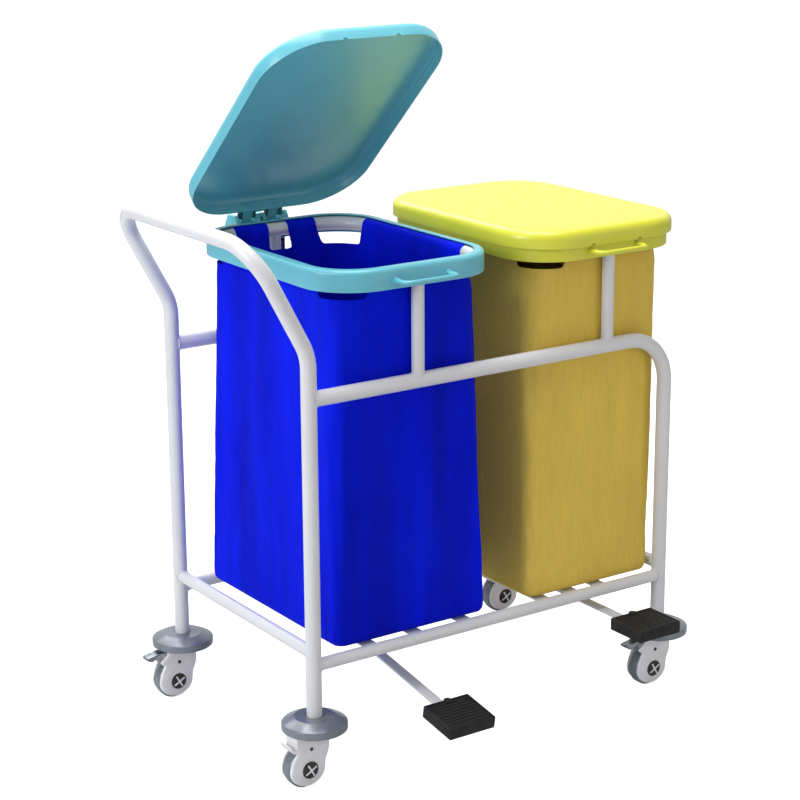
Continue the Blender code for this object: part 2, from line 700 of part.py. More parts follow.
def fork_mesh(braked):
    """One castor fork with its stem, axle and hub caps, about the swivel axis."""
    curve = bpy.data.curves.new("fork", "CURVE")
    curve.dimensions = "2D"
    curve.fill_mode = "BOTH"
    curve.extrude = CHEEK_OUT
    outline = fork_outline()
    spline = curve.splines.new("POLY")
    spline.points.add(len(outline) - 1)
    for point, (x, z) in zip(spline.points, outline):
        point.co = (x, z, 0.0, 1.0)
    spline.use_cyclic_u = True
    plate = add("fork", curve)
    plate.rotation_euler.x = radians(90)
    bpy.context.view_layer.update()
    plate = bake(plate)
    hub = (-TRAIL, 0.0, WHEEL_R)
    slots = [
        rod("slot", WHEEL_R + 0.003, (hub[0], -FORK_IN, hub[2]), (hub[0], FORK_IN, hub[2]), 24),
        box("tyre_slot", (-0.080, -FORK_IN, -0.001), (-0.0303, FORK_IN, SLOT_TOP)),
    ]
    if braked:
        slots.append(box("brake_slot", (-0.081, -FORK_IN, SLOT_TOP - 0.01), (-0.040, FORK_IN, 0.12)))
    plate = combine(plate, slots, "DIFFERENCE")
    joined = [
        rod("axle", AXLE_R, (hub[0], -0.018, hub[2]), (hub[0], 0.018, hub[2]), 12),
        rod("stem", STEM_R, (0.0, 0.0, FORK_TOP - 0.004), (0.0, 0.0, BUMPER_Z[1] + 0.02), 12),
    ]
    for sign in (-1, 1):
        start = (hub[0] + HUB_CAP_AHEAD, sign * (CHEEK_OUT - 0.002), hub[2])
        end = (start[0], sign * HUB_CAP_OUT, hub[2])
        joined.append(rod("hub_cap", HUB_CAP_R, start, end, 14))
    return take_mesh(combine(plate, joined, "UNION"))


def take_mesh(obj):
    mesh = obj.data
    bpy.data.objects.remove(obj, do_unlink=True)
    return mesh


def wheel_meshes():
    """The plastic wheel core and its rubber tyre, about the axle."""
    half = WHEEL_W / 2
    core_r = WHEEL_R - TYRE_T
    core = [
        (core_r - GAP, half - 0.002),
        (core_r - GAP, 0.002 - half),
        (AXLE_R + 0.007, -half),
        (AXLE_R + GAP, -half),
        (AXLE_R + GAP, half),
        (AXLE_R + 0.007, half),
    ]
    tyre = [
        (WHEEL_R, half - 0.004),
        (WHEEL_R, 0.004 - half),
        (WHEEL_R - 0.003, -half),
        (core_r, 0.001 - half),
        (core_r, half - 0.001),
        (WHEEL_R - 0.003, half),
    ]
    return [take_mesh(turned("wheel", profile, (0.0, 0.0, 0.0), "Y", 20)) for profile in (core, tyre)]


def bumper_mesh():
    """The round bumper that a leg stands in, with a hole for the castor's stem."""
    low, high = BUMPER_Z
    seat = LEG_END_Z - GAP
    bore = TUBE_R + GAP
    profile = [
        (bore + 0.005, high),
        (0.040, high - 0.0015),
        (BUMPER_R - 0.003, high - 0.0105),
        (BUMPER_R, high - 0.0130),
        (BUMPER_R, low + 0.002),
        (BUMPER_R - 0.002, low),
        (STEM_R + GAP, low),
        (STEM_R + GAP, seat),
        (bore, seat),
        (bore, high),
    ]
    return take_mesh(turned("bumper", profile, (0.0, 0.0, 0.0)))


def brake_mesh():
    """A foot brake lever, about its pivot: a sleeve with a plate that slopes down to a lip."""
    x, z = BRAKE_PIVOT
    half = FORK_IN - 0.0006
    sleeve = rod("brake", 0.0045, (x, -half, z), (x, half, z), 12)
    plate = box("plate", (x - 0.034, -half + 0.002, z + 0.001), (x, half - 0.002, z + 0.0045))
    lip = box("lip", (x - 0.042, -half + 0.002, z - 0.008), (x - 0.032, half - 0.002, z + 0.003))
    mesh = take_mesh(combine(sleeve, [plate, lip], "UNION"))
    mesh.transform(Matrix.Translation((-x, 0.0, -z)))
    return mesh


def build_castors():
    forks = {braked: fork_mesh(braked) for braked in (False, True)}
    (core, tyre), bumper, brake = wheel_meshes(), bumper_mesh(), brake_mesh()
    for corner, (x, y) in (
        ("front_left", (-LEG_X, -LEG_Y)),
        ("rear_left", (-LEG_X, LEG_Y)),
        ("front_right", (LEG_X, -LEG_Y)),
        ("rear_right", (LEG_X, LEG_Y)),
    ):
        place(f"bumper_{corner}", bumper, (x, y, 0.0), "grey_rubber")
        place(f"castor_fork_{corner}", forks[corner in BRAKED], (x, y, 0.0), "grey_plastic")
        hub = (x - TRAIL, y, WHEEL_R)
        place(f"wheel_core_{corner}", core, hub, "grey_plastic")
        place(f"tyre_{corner}", tyre, hub, "grey_rubber")
        if corner in BRAKED:
            pivot = (x + BRAKE_PIVOT[0], y, BRAKE_PIVOT[1])
            place(f"brake_lever_{corner}", brake, pivot, "bright_zinc")


def place(name, mesh, location, material_name):
    """A copy of a shared mesh, set down at its joint."""
    obj = add(name, mesh)
    finish(obj, material_name)
    obj.location = location


def centre_on_floor():
    """Moves every piece so that the origin is under the middle of the whole trolley."""
    bpy.context.view_layer.update()
    corners = [obj.matrix_world @ vert.co for obj in PARTS.objects for vert in obj.data.vertices]
    for axis in (0, 1):
        reach = [corner[axis] for corner in corners]
        middle = (min(reach) + max(reach)) / 2
        for obj in PARTS.objects:
            obj.location[axis] -= middle


def main():
    build_handle()
    build_side("front_side_tube", -LEG_Y)
    build_side("rear_side_tube", LEG_Y)
    build_bottom_rails()
    build_slats()
    for side, x in STATIONS.items():
        is_open = side == "left"
        plastic = "turquoise_plastic" if is_open else "yellow_plastic"
        build_posts(side, x)
        build_hoop(side, x)
        build_rim(side, x, plastic)
        build_grip(side, x, plastic)
        build_bag(side, x, "blue_fabric" if is_open else "mustard_fabric")
        build_hinge(side, x)
        build_lid(side, x, plastic, -LID_OPEN if is_open else 0.0)
        build_pedal(side, x, PEDAL_TRAVEL if is_open else 0.0)
        build_push_rod(side, x, ROD_LIFT if is_open else 0.0)
    build_castors()
    centre_on_floor()


clear_scene()
PARTS = collection("linen_trolley")
main()
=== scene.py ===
"""Looks for the linen trolley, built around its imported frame.

Metres, +Z up, in the frame's own axes: +X runs from the push handle to the far end, and +Y from the pedal
side to the hinge side. Places come from the frame's boxes, and sizes from the dimensions below.
"""

import json
from math import cos, pi, radians, sin

import bmesh
import bpy
from mathutils import Matrix, Vector, noise


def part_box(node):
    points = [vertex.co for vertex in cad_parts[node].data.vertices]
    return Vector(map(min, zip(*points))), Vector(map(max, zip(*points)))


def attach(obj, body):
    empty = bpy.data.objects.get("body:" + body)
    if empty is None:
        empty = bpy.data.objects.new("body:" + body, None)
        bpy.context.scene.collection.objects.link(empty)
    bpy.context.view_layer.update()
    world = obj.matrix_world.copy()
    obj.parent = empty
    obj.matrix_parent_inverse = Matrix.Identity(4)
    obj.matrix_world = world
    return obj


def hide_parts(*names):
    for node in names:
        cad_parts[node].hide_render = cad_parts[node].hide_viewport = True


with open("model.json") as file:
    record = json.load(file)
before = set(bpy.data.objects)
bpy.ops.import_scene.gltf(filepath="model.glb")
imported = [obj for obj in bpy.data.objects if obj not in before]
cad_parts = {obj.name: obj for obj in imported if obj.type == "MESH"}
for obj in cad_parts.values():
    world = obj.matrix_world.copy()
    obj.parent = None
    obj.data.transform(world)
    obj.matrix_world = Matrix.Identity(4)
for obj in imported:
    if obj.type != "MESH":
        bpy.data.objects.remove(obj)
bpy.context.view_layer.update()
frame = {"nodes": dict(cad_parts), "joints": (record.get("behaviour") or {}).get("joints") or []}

# Frame
TUBE_R = 0.015
RAIL_R = 0.0125
HANDLE_BEND_Z = 0.841
HANDLE_BEND_R = 0.100
HANDLE_CORNER_R = 0.085
LEG_CORNER_R = 0.095
WELD_R = 0.0016

# Bag stations
RIM_CORNER = 0.106
RIM_WALL = 0.0025
RIM_LIP = 0.020
RIM_ROUND = 0.009
HOOP_R = 0.014
HOOP_INSET = 0.0185
HOOP_Z = 0.965
GRIP_W = 0.118
GRIP_R = 0.0047
GRIP_CORNER = 0.014
LID_HALF = (0.204, 0.281)
LID_CORNER = 0.114
LID_Z = (0.970, 1.006)
LID_WALL = 0.003
LID_ROUND = 0.017

# Hinges and pedals
HINGE_W = 0.125
HINGE_R = 0.027
PIN_R = 0.004
ARM_OFFSET = 0.030
ARM_W = 0.024
KNUCKLE_R = 0.012
SPRINGS = (("a", -0.0525), ("b", 0.0435))
SPRING_LENGTH = 0.009
SPRING_R = 0.0062
SPRING_WIRE = 0.0008
WEB_X = (0.0108, 0.0528)
WEB_START = 0.36
WEB_CLEAR = 0.0068
WEB_T = 0.004
CRANK_R = 0.0403
ROD_X = 0.036
LEVER_W = 0.022
LEVER_T = 0.005
LEVER_Y = (-0.425, 0.296)
PAD_X = 0.105
PAD_Y = (-0.442, -0.349)
PAD_Z = (0.190, 0.215)
SLEEVE_R = 0.009

# Castors, from the swivel axis on the floor
WHEEL_R = 0.0375
TRAIL = 0.028
CHEEK_OUT = 0.020
FORK_IN = 0.014
FORK_TOP = 0.1110
FORK_BACK = -0.053
FORK_EGG = (0.0384, 0.0340)
FORK_EGG_AT = (-0.0267, 0.0395)
PIN_AT = (-0.020, 0.080)
SLOT_TOP = 0.0775
HUB_CAP_R = 0.017
HUB_CAP_AHEAD = 0.005
BUMPER_R = 0.0636
BUMPER_Z = (0.1115, 0.1380)
BRAKE_PIVOT = (-0.047, 0.1005)

# Stage
FLOOR_GLOW = 0.85
AMBIENT = 0.36
REFLECTED = (0.15, 0.80)
FAR_SIDE = (0.55, 0.80, 0.24)
LENS = 94.6
CAMERA_AT = (-2.364, -3.3925, 1.789)
CAMERA_FACING = (0.5425, 0.7955, -0.270)
CAMERA_ROLL = -0.33


# ---- places from the frame


def floor_between_legs():
    """The point on the floor in the middle of the four legs. Every piece is built about it."""
    bumpers = [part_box(node) for node in frame["nodes"] if node.startswith("bumper_")]
    middle = sum((first + second for first, second in bumpers), Vector()) / (2 * len(bumpers))
    return Vector((middle.x, middle.y, 0.0))


MIDDLE = floor_between_legs()


def box_of(node):
    first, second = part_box(node)
    return first - MIDDLE, second - MIDDLE


def low(node):
    return box_of(node)[0]


def high(node):
    return box_of(node)[1]


def centre(node):
    return (low(node) + high(node)) / 2


JOINTS = {joint["name"]: joint for joint in frame["joints"]}
CORNERS = {
    corner: centre(f"bumper_{corner}").xy
    for corner in ("front_left", "rear_left", "front_right", "rear_right")
}
LEG_X = CORNERS["front_right"].x
LEG_Y = CORNERS["rear_right"].y
TOP_RAIL_Z = high("front_side_tube").z - TUBE_R
STATIONS = {side: centre(f"rim_{side}").x for side in ("left", "right")}
BRAKED = ("rear_left", "front_right")


def pivot(joint):
    """The Y and Z of a joint's axis."""
    return (Vector(JOINTS[joint]["pos_m"]) - MIDDLE).yz


def from_low_end(joint):
    """How far a joint stands from the low end of its range at rest, in radians."""
    return -radians(JOINTS[joint]["range_deg"][0])


def turn_about(x, axis, angle):
    """A turn about a line along X through a (Y, Z) place."""
    place = Matrix.Translation((x, *axis))
    return place @ Matrix.Rotation(angle, 4, "X") @ place.inverted()


# ---- materials


def feed(tree, socket, value):
    """Links another node's output to a socket, or sets the socket's own value."""
    if isinstance(value, bpy.types.NodeSocket):
        tree.links.new(value, socket)
    else:
        socket.default_value = value


def make_node(tree, kind, inputs=None, **settings):
    made = tree.nodes.new(kind)
    for name, value in settings.items():
        setattr(made, name, value)
    for name, value in (inputs or {}).items():
        feed(tree, made.inputs[name], value)
    return made


class Look:
    """A Principled material whose colour, roughness and bump come from procedural textures."""

    def __init__(self, name, colour, roughness, metallic=0.0, slot=None):
        self.material = bpy.data.materials.new(name)
        self.material.use_nodes = True
        self.tree = self.material.node_tree
        self.shader = self.tree.nodes["Principled BSDF"]
        self.slot = slot or name
        self.colour = (*colour, 1.0)
        self.heights = []
        self.set("Base Color", self.colour)
        self.set("Roughness", roughness)
        self.set("Metallic", metallic)
        self.place = self.node("ShaderNodeTexCoord").outputs["Object"]

    def set(self, name, value):
        feed(self.tree, self.shader.inputs[name], value)

    def node(self, kind, inputs=None, **settings):
        return make_node(self.tree, kind, inputs, **settings)

    def noise(self, scale, detail=3.0, stretch=None):
        place = self.place
        if stretch:
            place = self.node("ShaderNodeMapping", {"Vector": place, "Scale": stretch}).outputs["Vector"]
        inputs = {"Vector": place, "Scale": scale, "Detail": detail}
        return self.node("ShaderNodeTexNoise", inputs).outputs["Fac"]

    def span(self, value, from_low, from_high, to_low, to_high):
        inputs = {"Value": value, "From Min": from_low, "From Max": from_high}
        inputs |= {"To Min": to_low, "To Max": to_high}
        return self.node("ShaderNodeMapRange", inputs).outputs["Result"]

    def math(self, operation, first, second=0.0):
        return self.node("ShaderNodeMath", {0: first, 1: second}, operation=operation).outputs[0]

    def mix(self, factor, first, second):
        inputs = {"Factor": factor}
        for index, value in ((6, first), (7, second)):
            inputs[index] = value if isinstance(value, bpy.types.NodeSocket) else (*value[:3], 1.0)
        return self.node("ShaderNodeMix", inputs, data_type="RGBA").outputs[2]

    def bump(self, height, strength, distance):
        """Adds one layer of bump over the layers already there."""
        inputs = {"Height": height, "Strength": strength, "Distance": distance}
        if self.heights:
            inputs["Normal"] = self.heights[-1]
        self.heights.append(self.node("ShaderNodeBump", inputs).outputs["Normal"])
        self.set("Normal", self.heights[-1])

    def clouds(self, scale, first, second, detail=3.0, spread=0.15):
        """Colours the look with slow clouds of two colours."""
        cloud = self.span(self.noise(scale, detail), 0.5 - spread, 0.5 + spread, 0.0, 1.0)
        self.set("Base Color", self.mix(cloud, first, second))

    def vary_roughness(self, scale, least, most):
        self.set("Roughness", self.span(self.noise(scale), 0.35, 0.65, least, most))

    def paint_edge_highlight(self, colour):
        """Mixes in a colour on convex edges, broken up by noise. The rubbers mix in a lighter colour here: a
        painted edge highlight.
        """
        point = self.node("ShaderNodeNewGeometry").outputs["Pointiness"]
        edges = self.span(point, 0.53, 0.59, 0.0, 1.0)
        patches = self.span(self.noise(90.0), 0.42, 0.62, 0.0, 1.0)
        edge_highlight = self.math("MULTIPLY", edges, patches)
        current = self.shader.inputs["Base Color"]
        base = current.links[0].from_socket if current.links else self.colour
        self.set("Base Color", self.mix(edge_highlight, base, colour))


def powder_coat():
    look = Look("white_powder_coat", (0.695, 0.695, 0.71), 0.34)
    look.clouds(7.0, (0.685, 0.685, 0.70), (0.71, 0.71, 0.72))
    look.vary_roughness(40.0, 0.30, 0.38)
    look.bump(look.noise(260.0, 2.0), 0.03, 0.0002)
    look.set("Coat Weight", 0.2)
    look.set("Coat Roughness", 0.15)
    return look


def moulded_plastic(name, colour, deep, slot=None):
    """Semi-gloss moulded plastic with a fine leathery skin and slow clouds of colour."""
    look = Look(name, colour, 0.32, slot=slot)
    look.clouds(5.0, colour, deep)
    look.vary_roughness(40.0, 0.29, 0.36)
    look.bump(look.noise(240.0, 2.0), 0.02, 0.0002)
    look.set("Subsurface Weight", 0.08)
    look.set("Subsurface Radius", (0.004, 0.004, 0.003))
    look.set("Coat Weight", 0.10)
    look.set("Coat Roughness", 0.12)
    return look


def cloth(name, colour, shade, pitch, roughness, glow, fold_shading):
    """A plain weave, from the mesh's own map of metres around and down the bag."""
    look = Look(name, colour, roughness)
    plan = look.node("ShaderNodeUVMap", uv_map="weave").outputs["UV"]
    parts = look.node("ShaderNodeSeparateXYZ", {"Vector": plan})
    around, down = (
        look.math("SINE", look.math("MULTIPLY", parts.outputs[axis], 2 * pi / pitch)) for axis in (0, 1)
    )
    weave = look.math("MULTIPLY", around, down)
    streaks = look.noise(55.0, 2.0, (6.0, 6.0, 0.5))
    # Slow clouds between the two colours; on the blue nylon they are painted reflection, the blotchy sheen of
    # the cloth.
    clouds = look.span(look.noise(4.5, 4.0), 0.35, 0.68, 0.0, 1.0)
    tone = look.mix(clouds, colour, shade)
    # Slow upright bands that lighten and darken the cloth: painted shade and light of soft vertical folds.
    fold_shade = look.span(look.noise(10.0, 2.0, (1.6, 1.6, 0.14)), 0.32, 0.68, 1.0 - fold_shading, 1.0 + fold_shading)
    thread = look.span(look.math("ADD", look.math("MULTIPLY", weave, 0.5), streaks), 0.0, 1.2, 0.80, 1.08)
    inputs = {"Factor": 1.0, 6: tone, 7: look.math("MULTIPLY", thread, fold_shade)}
    toned = look.node("ShaderNodeMix", inputs, data_type="RGBA", blend_type="MULTIPLY")
    look.set("Base Color", toned.outputs[2])
    look.bump(weave, 0.35, pitch / 6)
    look.bump(look.noise(16.0, 3.0), 0.12, 0.006)
    look.set("Sheen Weight", 0.04)
    look.set("Sheen Roughness", 0.4)
    look.set("Sheen Tint", (*glow, 1.0))
    look.set("Specular IOR Level", 0.08)
    return look


def rubber(name, colour, edge_highlight, least, most, slot, metallic=0.0, shine=0.5):
    look = Look(name, colour, most, metallic, slot)
    look.set("Specular IOR Level", shine)
    look.clouds(30.0, colour, tuple(channel * 0.85 for channel in colour))
    # A lighter colour on the convex edges: painted edge highlight.
    look.paint_edge_highlight(edge_highlight)
    look.vary_roughness(60.0, least, most)
    look.bump(look.noise(500.0, 2.0), 0.06, 0.0003)
    return look


def housing_plastic():
    look = Look("housing_plastic", (0.80, 0.79, 0.80), 0.4, slot="grey_plastic")
    look.clouds(40.0, (0.84, 0.83, 0.85), (0.78, 0.77, 0.78))
    look.vary_roughness(50.0, 0.32, 0.44)
    look.bump(look.noise(500.0, 2.0), 0.05, 0.0003)
    return look


def plated(name, colour, tint, slot):
    """Zinc plating: a brushed, slightly cloudy metal."""
    look = Look(name, colour, 0.3, 1.0, slot)
    look.clouds(60.0, colour, tint, 4.0, 0.2)
    look.vary_roughness(80.0, 0.22, 0.42)
    look.bump(look.noise(500.0, 2.0, (1.0, 0.1, 1.0)), 0.08, 0.0002)
    return look


BLUE = ((0.0, 0.006, 0.66), (0.0, 0.012, 0.76))
MUSTARD = ((0.86, 0.62, 0.115), (0.78, 0.56, 0.105))
# Each pair is a rubber's colour and the lighter colour of its painted edge highlight.
PAD = ((0.020, 0.019, 0.018), (0.032, 0.032, 0.032))
TYRE = ((0.20, 0.235, 0.265), (0.28, 0.32, 0.35))
BUMPER = ((0.22, 0.245, 0.275), (0.34, 0.37, 0.40))
LOOKS = {
    "white": powder_coat(),
    "turquoise": moulded_plastic("turquoise_plastic", (0.15, 0.52, 0.62), (0.13, 0.48, 0.58)),
    # Darker copies of the two plastics: painted shade for the set-back webs in the hinge pockets.
    "turquoise_shade": moulded_plastic(
        "turquoise_painted_shade", (0.035, 0.13, 0.155), (0.03, 0.11, 0.13), "turquoise_plastic"
    ),
    "yellow": moulded_plastic("yellow_plastic", (0.73, 0.72, 0.058), (0.68, 0.68, 0.052)),
    "yellow_shade": moulded_plastic(
        "yellow_painted_shade", (0.20, 0.20, 0.02), (0.18, 0.18, 0.02), "yellow_plastic"
    ),
    # The last number sets how strong the painted fold shading is.
    "blue": cloth("blue_fabric", *BLUE, 0.0016, 0.75, (0.0, 0.1, 1.0), 0.2),
    "mustard": cloth("mustard_fabric", *MUSTARD, 0.0022, 0.9, (1.0, 0.9, 0.6), 0.03),
    "pad": rubber("pad_rubber", *PAD, 0.55, 0.65, "black_rubber", 0.0, 0.22),
    "tyre": rubber("tyre_rubber", *TYRE, 0.26, 0.36, "grey_rubber", 0.2),
    "bumper": rubber("bumper_rubber", *BUMPER, 0.19, 0.27, "grey_rubber", 0.35),
    "housing": housing_plastic(),
    "cap": rubber("cap_plastic", (0.02, 0.02, 0.018), (0.06, 0.06, 0.06), 0.3, 0.5, "grey_plastic"),
    "gold": plated("yellow_zinc", (0.78, 0.66, 0.14), (0.66, 0.62, 0.18), "yellow_zinc"),
    "zinc": plated("bright_zinc", (0.58, 0.60, 0.63), (0.48, 0.50, 0.54), "bright_zinc"),
    "steel": plated("dull_zinc", (0.34, 0.37, 0.40), (0.26, 0.29, 0.32), "bright_zinc"),
}


# ---- mesh tools


def add(name, mesh, look, body, node=None, smooth=35):
    """Shows a mesh as a piece on a CAD body, in place of a CAD node if one is named."""
    mesh.materials.clear()
    mesh.materials.append(LOOKS[look].material)
    mesh.transform(Matrix.Translation(MIDDLE))
    mesh.shade_smooth()
    mesh.set_sharp_from_angle(angle=radians(smooth))
    piece = link(name, mesh)
    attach(piece, body)
    if node:
        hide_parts(node)


def link(name, data):
    obj = bpy.data.objects.new(name, data)
    bpy.context.scene.collection.objects.link(obj)
    return obj


def evaluated(obj):
    """The mesh of an object with its modifiers applied; the object is removed."""
    bpy.context.view_layer.update()
    mesh = bpy.data.meshes.new_from_object(obj.evaluated_get(bpy.context.evaluated_depsgraph_get()))
    mesh.transform(obj.matrix_world)
    bpy.data.objects.remove(obj, do_unlink=True)
    return mesh


def mesh_from(bm):
    bmesh.ops.remove_doubles(bm, verts=bm.verts, dist=0.000001)
    bmesh.ops.recalc_face_normals(bm, faces=bm.faces)
    mesh = bpy.data.meshes.new("mesh")
    bm.to_mesh(mesh)
    bm.free()
    return mesh


def combine(mesh, others, operation):
    """Joins meshes to one closed mesh, or cuts them from it."""
    base = link("base", mesh)
    tools = [link("tool", other) for other in others]
    for tool in tools:
        modifier = base.modifiers.new("Boolean", "BOOLEAN")
        modifier.operation = operation
        modifier.object = tool
    made = evaluated(base)
    for tool in tools:
        bpy.data.objects.remove(tool, do_unlink=True)
    return made


def welded(mesh):
    """The mesh with its doubled points merged and its normals turned outward."""
    bm = bmesh.new()
    bm.from_mesh(mesh)
    return mesh_from(bm)


def moved(mesh, matrix):
    made = mesh.copy()
    made.transform(matrix)
    return made


def about_legs(node):
    """A copy of a CAD node's mesh, welded and moved to the coordinates that pieces are built in."""
    return moved(welded(node.data), Matrix.Translation(-MIDDLE))


def softened(mesh, width, angle=30):
    """The mesh with its sharp edges rounded."""
    obj = link("soft", mesh)
    bevel = obj.modifiers.new("Bevel", "BEVEL")
    bevel.width = width
    bevel.segments = 2
    bevel.angle_limit = radians(angle)
    return evaluated(obj)


def box(first, second, edge=0.0):
    bm = bmesh.new()
    bmesh.ops.create_cube(bm, size=1.0)
    size = Vector(second) - Vector(first)
    bmesh.ops.scale(bm, vec=size, verts=bm.verts)
    bmesh.ops.translate(bm, vec=Vector(first) + size / 2, verts=bm.verts)
    if edge:
        bmesh.ops.bevel(bm, geom=list(bm.edges), offset=edge, segments=3, profile=0.5, affect="EDGES")
    return mesh_from(bm)


def rod(radius, start, end, segments=48, edge=0.0):
    start, end = Vector(start), Vector(end)
    along = end - start
    bm = bmesh.new()
    round_ends = {"segments": segments, "radius1": radius, "radius2": radius}
    bmesh.ops.create_cone(bm, cap_ends=True, depth=along.length, **round_ends)
    if edge:
        ends = [e for e in bm.edges if abs(e.verts[0].co.z - e.verts[1].co.z) < along.length / 2]
        bmesh.ops.bevel(bm, geom=ends, offset=edge, segments=3, profile=0.5, affect="EDGES")
    turn = Vector((0.0, 0.0, 1.0)).rotation_difference(along).to_matrix().to_4x4()
    bmesh.ops.transform(bm, matrix=Matrix.Translation((start + end) / 2) @ turn, verts=bm.verts)
    return mesh_from(bm)


def crossbar(radius, x_low, x_high, at, segments=32, edge=0.0):
    """A rod along X, at a (Y, Z) place."""
    return rod(radius, (x_low, *at), (x_high, *at), segments, edge)


def beam(start, end, thickness, x_low, x_high, edge=0.0):
    """A bar across x_low to x_high whose middle line runs from start to end in the YZ plane."""
    along = Vector((0.0, end[0] - start[0], end[1] - start[1]))
    bar = box((x_low, 0.0, -thickness / 2), (x_high, along.length, thickness / 2), edge)
    turn = Matrix.Rotation(along.yz.angle_signed(Vector((1.0, 0.0))), 4, "X")
    bar.transform(Matrix.Translation((0.0, start[0], start[1])) @ turn)
    return bar


def traced(points, closed, swells=None, **settings):
    """A curve object through points."""
    curve = bpy.data.curves.new("traced", "CURVE")
    for name, value in settings.items():
        setattr(curve, name, value)
    spline = curve.splines.new("POLY")
    spline.points.add(len(points) - 1)
    for index, (point, place) in enumerate(zip(spline.points, points)):
        point.co = (*place, 1.0)
        point.radius = swells[index] if swells else 1.0
    spline.use_cyclic_u = closed
    return link("traced", curve)


def tube(path, radius, sides=8, closed=False, swells=None):
    """A round tube along a path, with closed ends."""
    settings = {"dimensions": "3D", "bevel_depth": radius, "bevel_resolution": sides}
    return welded(evaluated(traced(path, closed, swells, **settings, use_fill_caps=not closed)))


def turned(profile, matrix=None, steps=96):
    """A solid of revolution about Z from closed (radius, height) points."""
    bm = bmesh.new()
    verts = [bm.verts.new((radius, 0.0, height)) for radius, height in profile]
    edges = [bm.edges.new(pair) for pair in zip(verts, verts[1:] + verts[:1])]
    spin = {"cent": (0, 0, 0), "axis": (0, 0, 1), "angle": 2 * pi, "steps": steps, "use_merge": True}
    bmesh.ops.spin(bm, geom=verts + edges, **spin)
    mesh = mesh_from(bm)
    if matrix:
        mesh.transform(matrix)
    return mesh


def rounded(corners, radii, step=radians(6), closed=False):
    """A path with its corners replaced by arcs. A radius of zero leaves a corner sharp."""
    corners = [Vector(corner).to_3d() for corner in corners]
    if not hasattr(radii, "__len__"):
        radii = [radii] * len(corners)
    path = []
    for index, corner in enumerate(corners):
        inside = closed or 0 < index < len(corners) - 1
        bend = radii[index]
        if not inside or not bend:
            path.append(corner)
            continue
        back = (corners[index - 1] - corner).normalized()
        ahead = (corners[(index + 1) % len(corners)] - corner).normalized()
        turn = pi - back.angle(ahead)
        middle = corner + (back + ahead).normalized() * bend / cos(turn / 2)
        first = corner + back * bend * sin(turn / 2) / cos(turn / 2) - middle
        axis = back.cross(ahead)
        count = max(2, round(turn / step))
        path += [middle + Matrix.Rotation(-turn * k / count, 3, axis) @ first for k in range(count + 1)]
    return path


def rounded_pairs(corners, radii, step=radians(15)):
    """The same for a closed outline of pairs."""
    return [tuple(point.xy) for point in rounded(corners, radii, step, closed=True)]


def outline(half_x, half_y, corner, arc=12, side_x=1, side_y=1):
    """Counter-clockwise points of a rounded rectangle, with arc steps a corner and steps along each side."""
    points = []
    ends = []
    for index, (sign_x, sign_y) in enumerate(((1, 1), (-1, 1), (-1, -1), (1, -1))):
        run = []
        for step in range(arc + 1):
            angle = (index + step / arc) * pi / 2
            x = sign_x * (half_x - corner) + corner * cos(angle)
            run.append(Vector((x, sign_y * (half_y - corner) + corner * sin(angle))))
        ends.append(run)
    for index, run in enumerate(ends):
        points += run
        following = ends[(index + 1) % 4][0]
        count = side_x if index % 2 == 0 else side_y
        points += [run[-1].lerp(following, step / count) for step in range(1, count)]
    return points


def loft(rings, closed=False, caps=False):
    """A mesh through rings of points. closed joins the last ring to the first, and caps fills the ends."""
    bm = bmesh.new()
    levels = [[bm.verts.new(point) for point in ring] for ring in rings]
    for upper, lower in zip(levels, levels[1:] + levels[:1] if closed else levels[1:]):
        for index in range(len(upper)):
            following = (index + 1) % len(upper)
            bm.faces.new((upper[index], upper[following], lower[following], lower[index]))
    if caps:
        bm.faces.new(levels[0])
        bm.faces.new(levels[-1])
    return mesh_from(bm)


def extruded(points, depth, edge):
    """A flat outline in X and Z, made depth thick about Y, with rounded edges."""
    settings = {"dimensions": "2D", "fill_mode": "BOTH", "extrude": depth / 2 - edge}
    settings |= {"bevel_depth": edge, "bevel_resolution": 3, "offset": -edge}
    plate = traced([(x, z, 0.0) for x, z in points], True, **settings)
    plate.rotation_euler.x = radians(90)
    return welded(evaluated(plate))


# ---- welded frame


def saddle(at, along, rail_r, leg_r):
    """The line where a rail of rail_r, running along a direction from a leg's axis, meets the leg."""
    along = Vector(along).normalized()
    across = Vector((0.0, 0.0, 1.0)).cross(along)
    steps = 40
    path = []
    for index in range(steps):
        angle = 2 * pi * index / steps
        side = (rail_r + 0.0005) * cos(angle)
        up = Vector((0.0, 0.0, (rail_r + 0.0005) * sin(angle)))
        reach = max(leg_r**2 - side**2, 0.3 * leg_r**2) ** 0.5
        path.append(Vector(at) + along * reach + across * side + up)
    return path


def weld(name, path):
    """A bead with the slight ripple of a hand weld."""
    swells = [1.0 + 0.16 * noise.noise(point * 400.0) for point in path]
    add(name, tube(path, WELD_R, 3, True, swells), "white", "frame", smooth=60)


def build_handle():
    z = low("handle_tube").z
    handle_x = low("handle_tube").x + TUBE_R
    handle_z = high("handle_tube").z - TUBE_R
    corners = [(-LEG_X, -LEG_Y, z), (-LEG_X, -LEG_Y, HANDLE_BEND_Z), (handle_x, -LEG_Y, handle_z)]
    corners += [(x, -y, z) for x, y, z in reversed(corners)]
    bends = (0.0, HANDLE_BEND_R, HANDLE_CORNER_R, HANDLE_CORNER_R, HANDLE_BEND_R, 0.0)
    add("push_handle", tube(rounded(corners, bends), TUBE_R), "white", "frame", "handle_tube")


def build_sides():
    z = low("front_side_tube").z
    for name, y in (("front", -LEG_Y), ("rear", LEG_Y)):
        start = -LEG_X + TUBE_R * 0.6
        corners = [(start, y, TOP_RAIL_Z), (LEG_X, y, TOP_RAIL_Z), (LEG_X, y, z)]
        mesh = tube(rounded(corners, LEG_CORNER_R), TUBE_R)
        add(f"{name}_top_rail", mesh, "white", "frame", f"{name}_side_tube")
        weld(f"{name}_top_rail_weld", saddle((-LEG_X, y, TOP_RAIL_Z), (1, 0, 0), TUBE_R, TUBE_R))


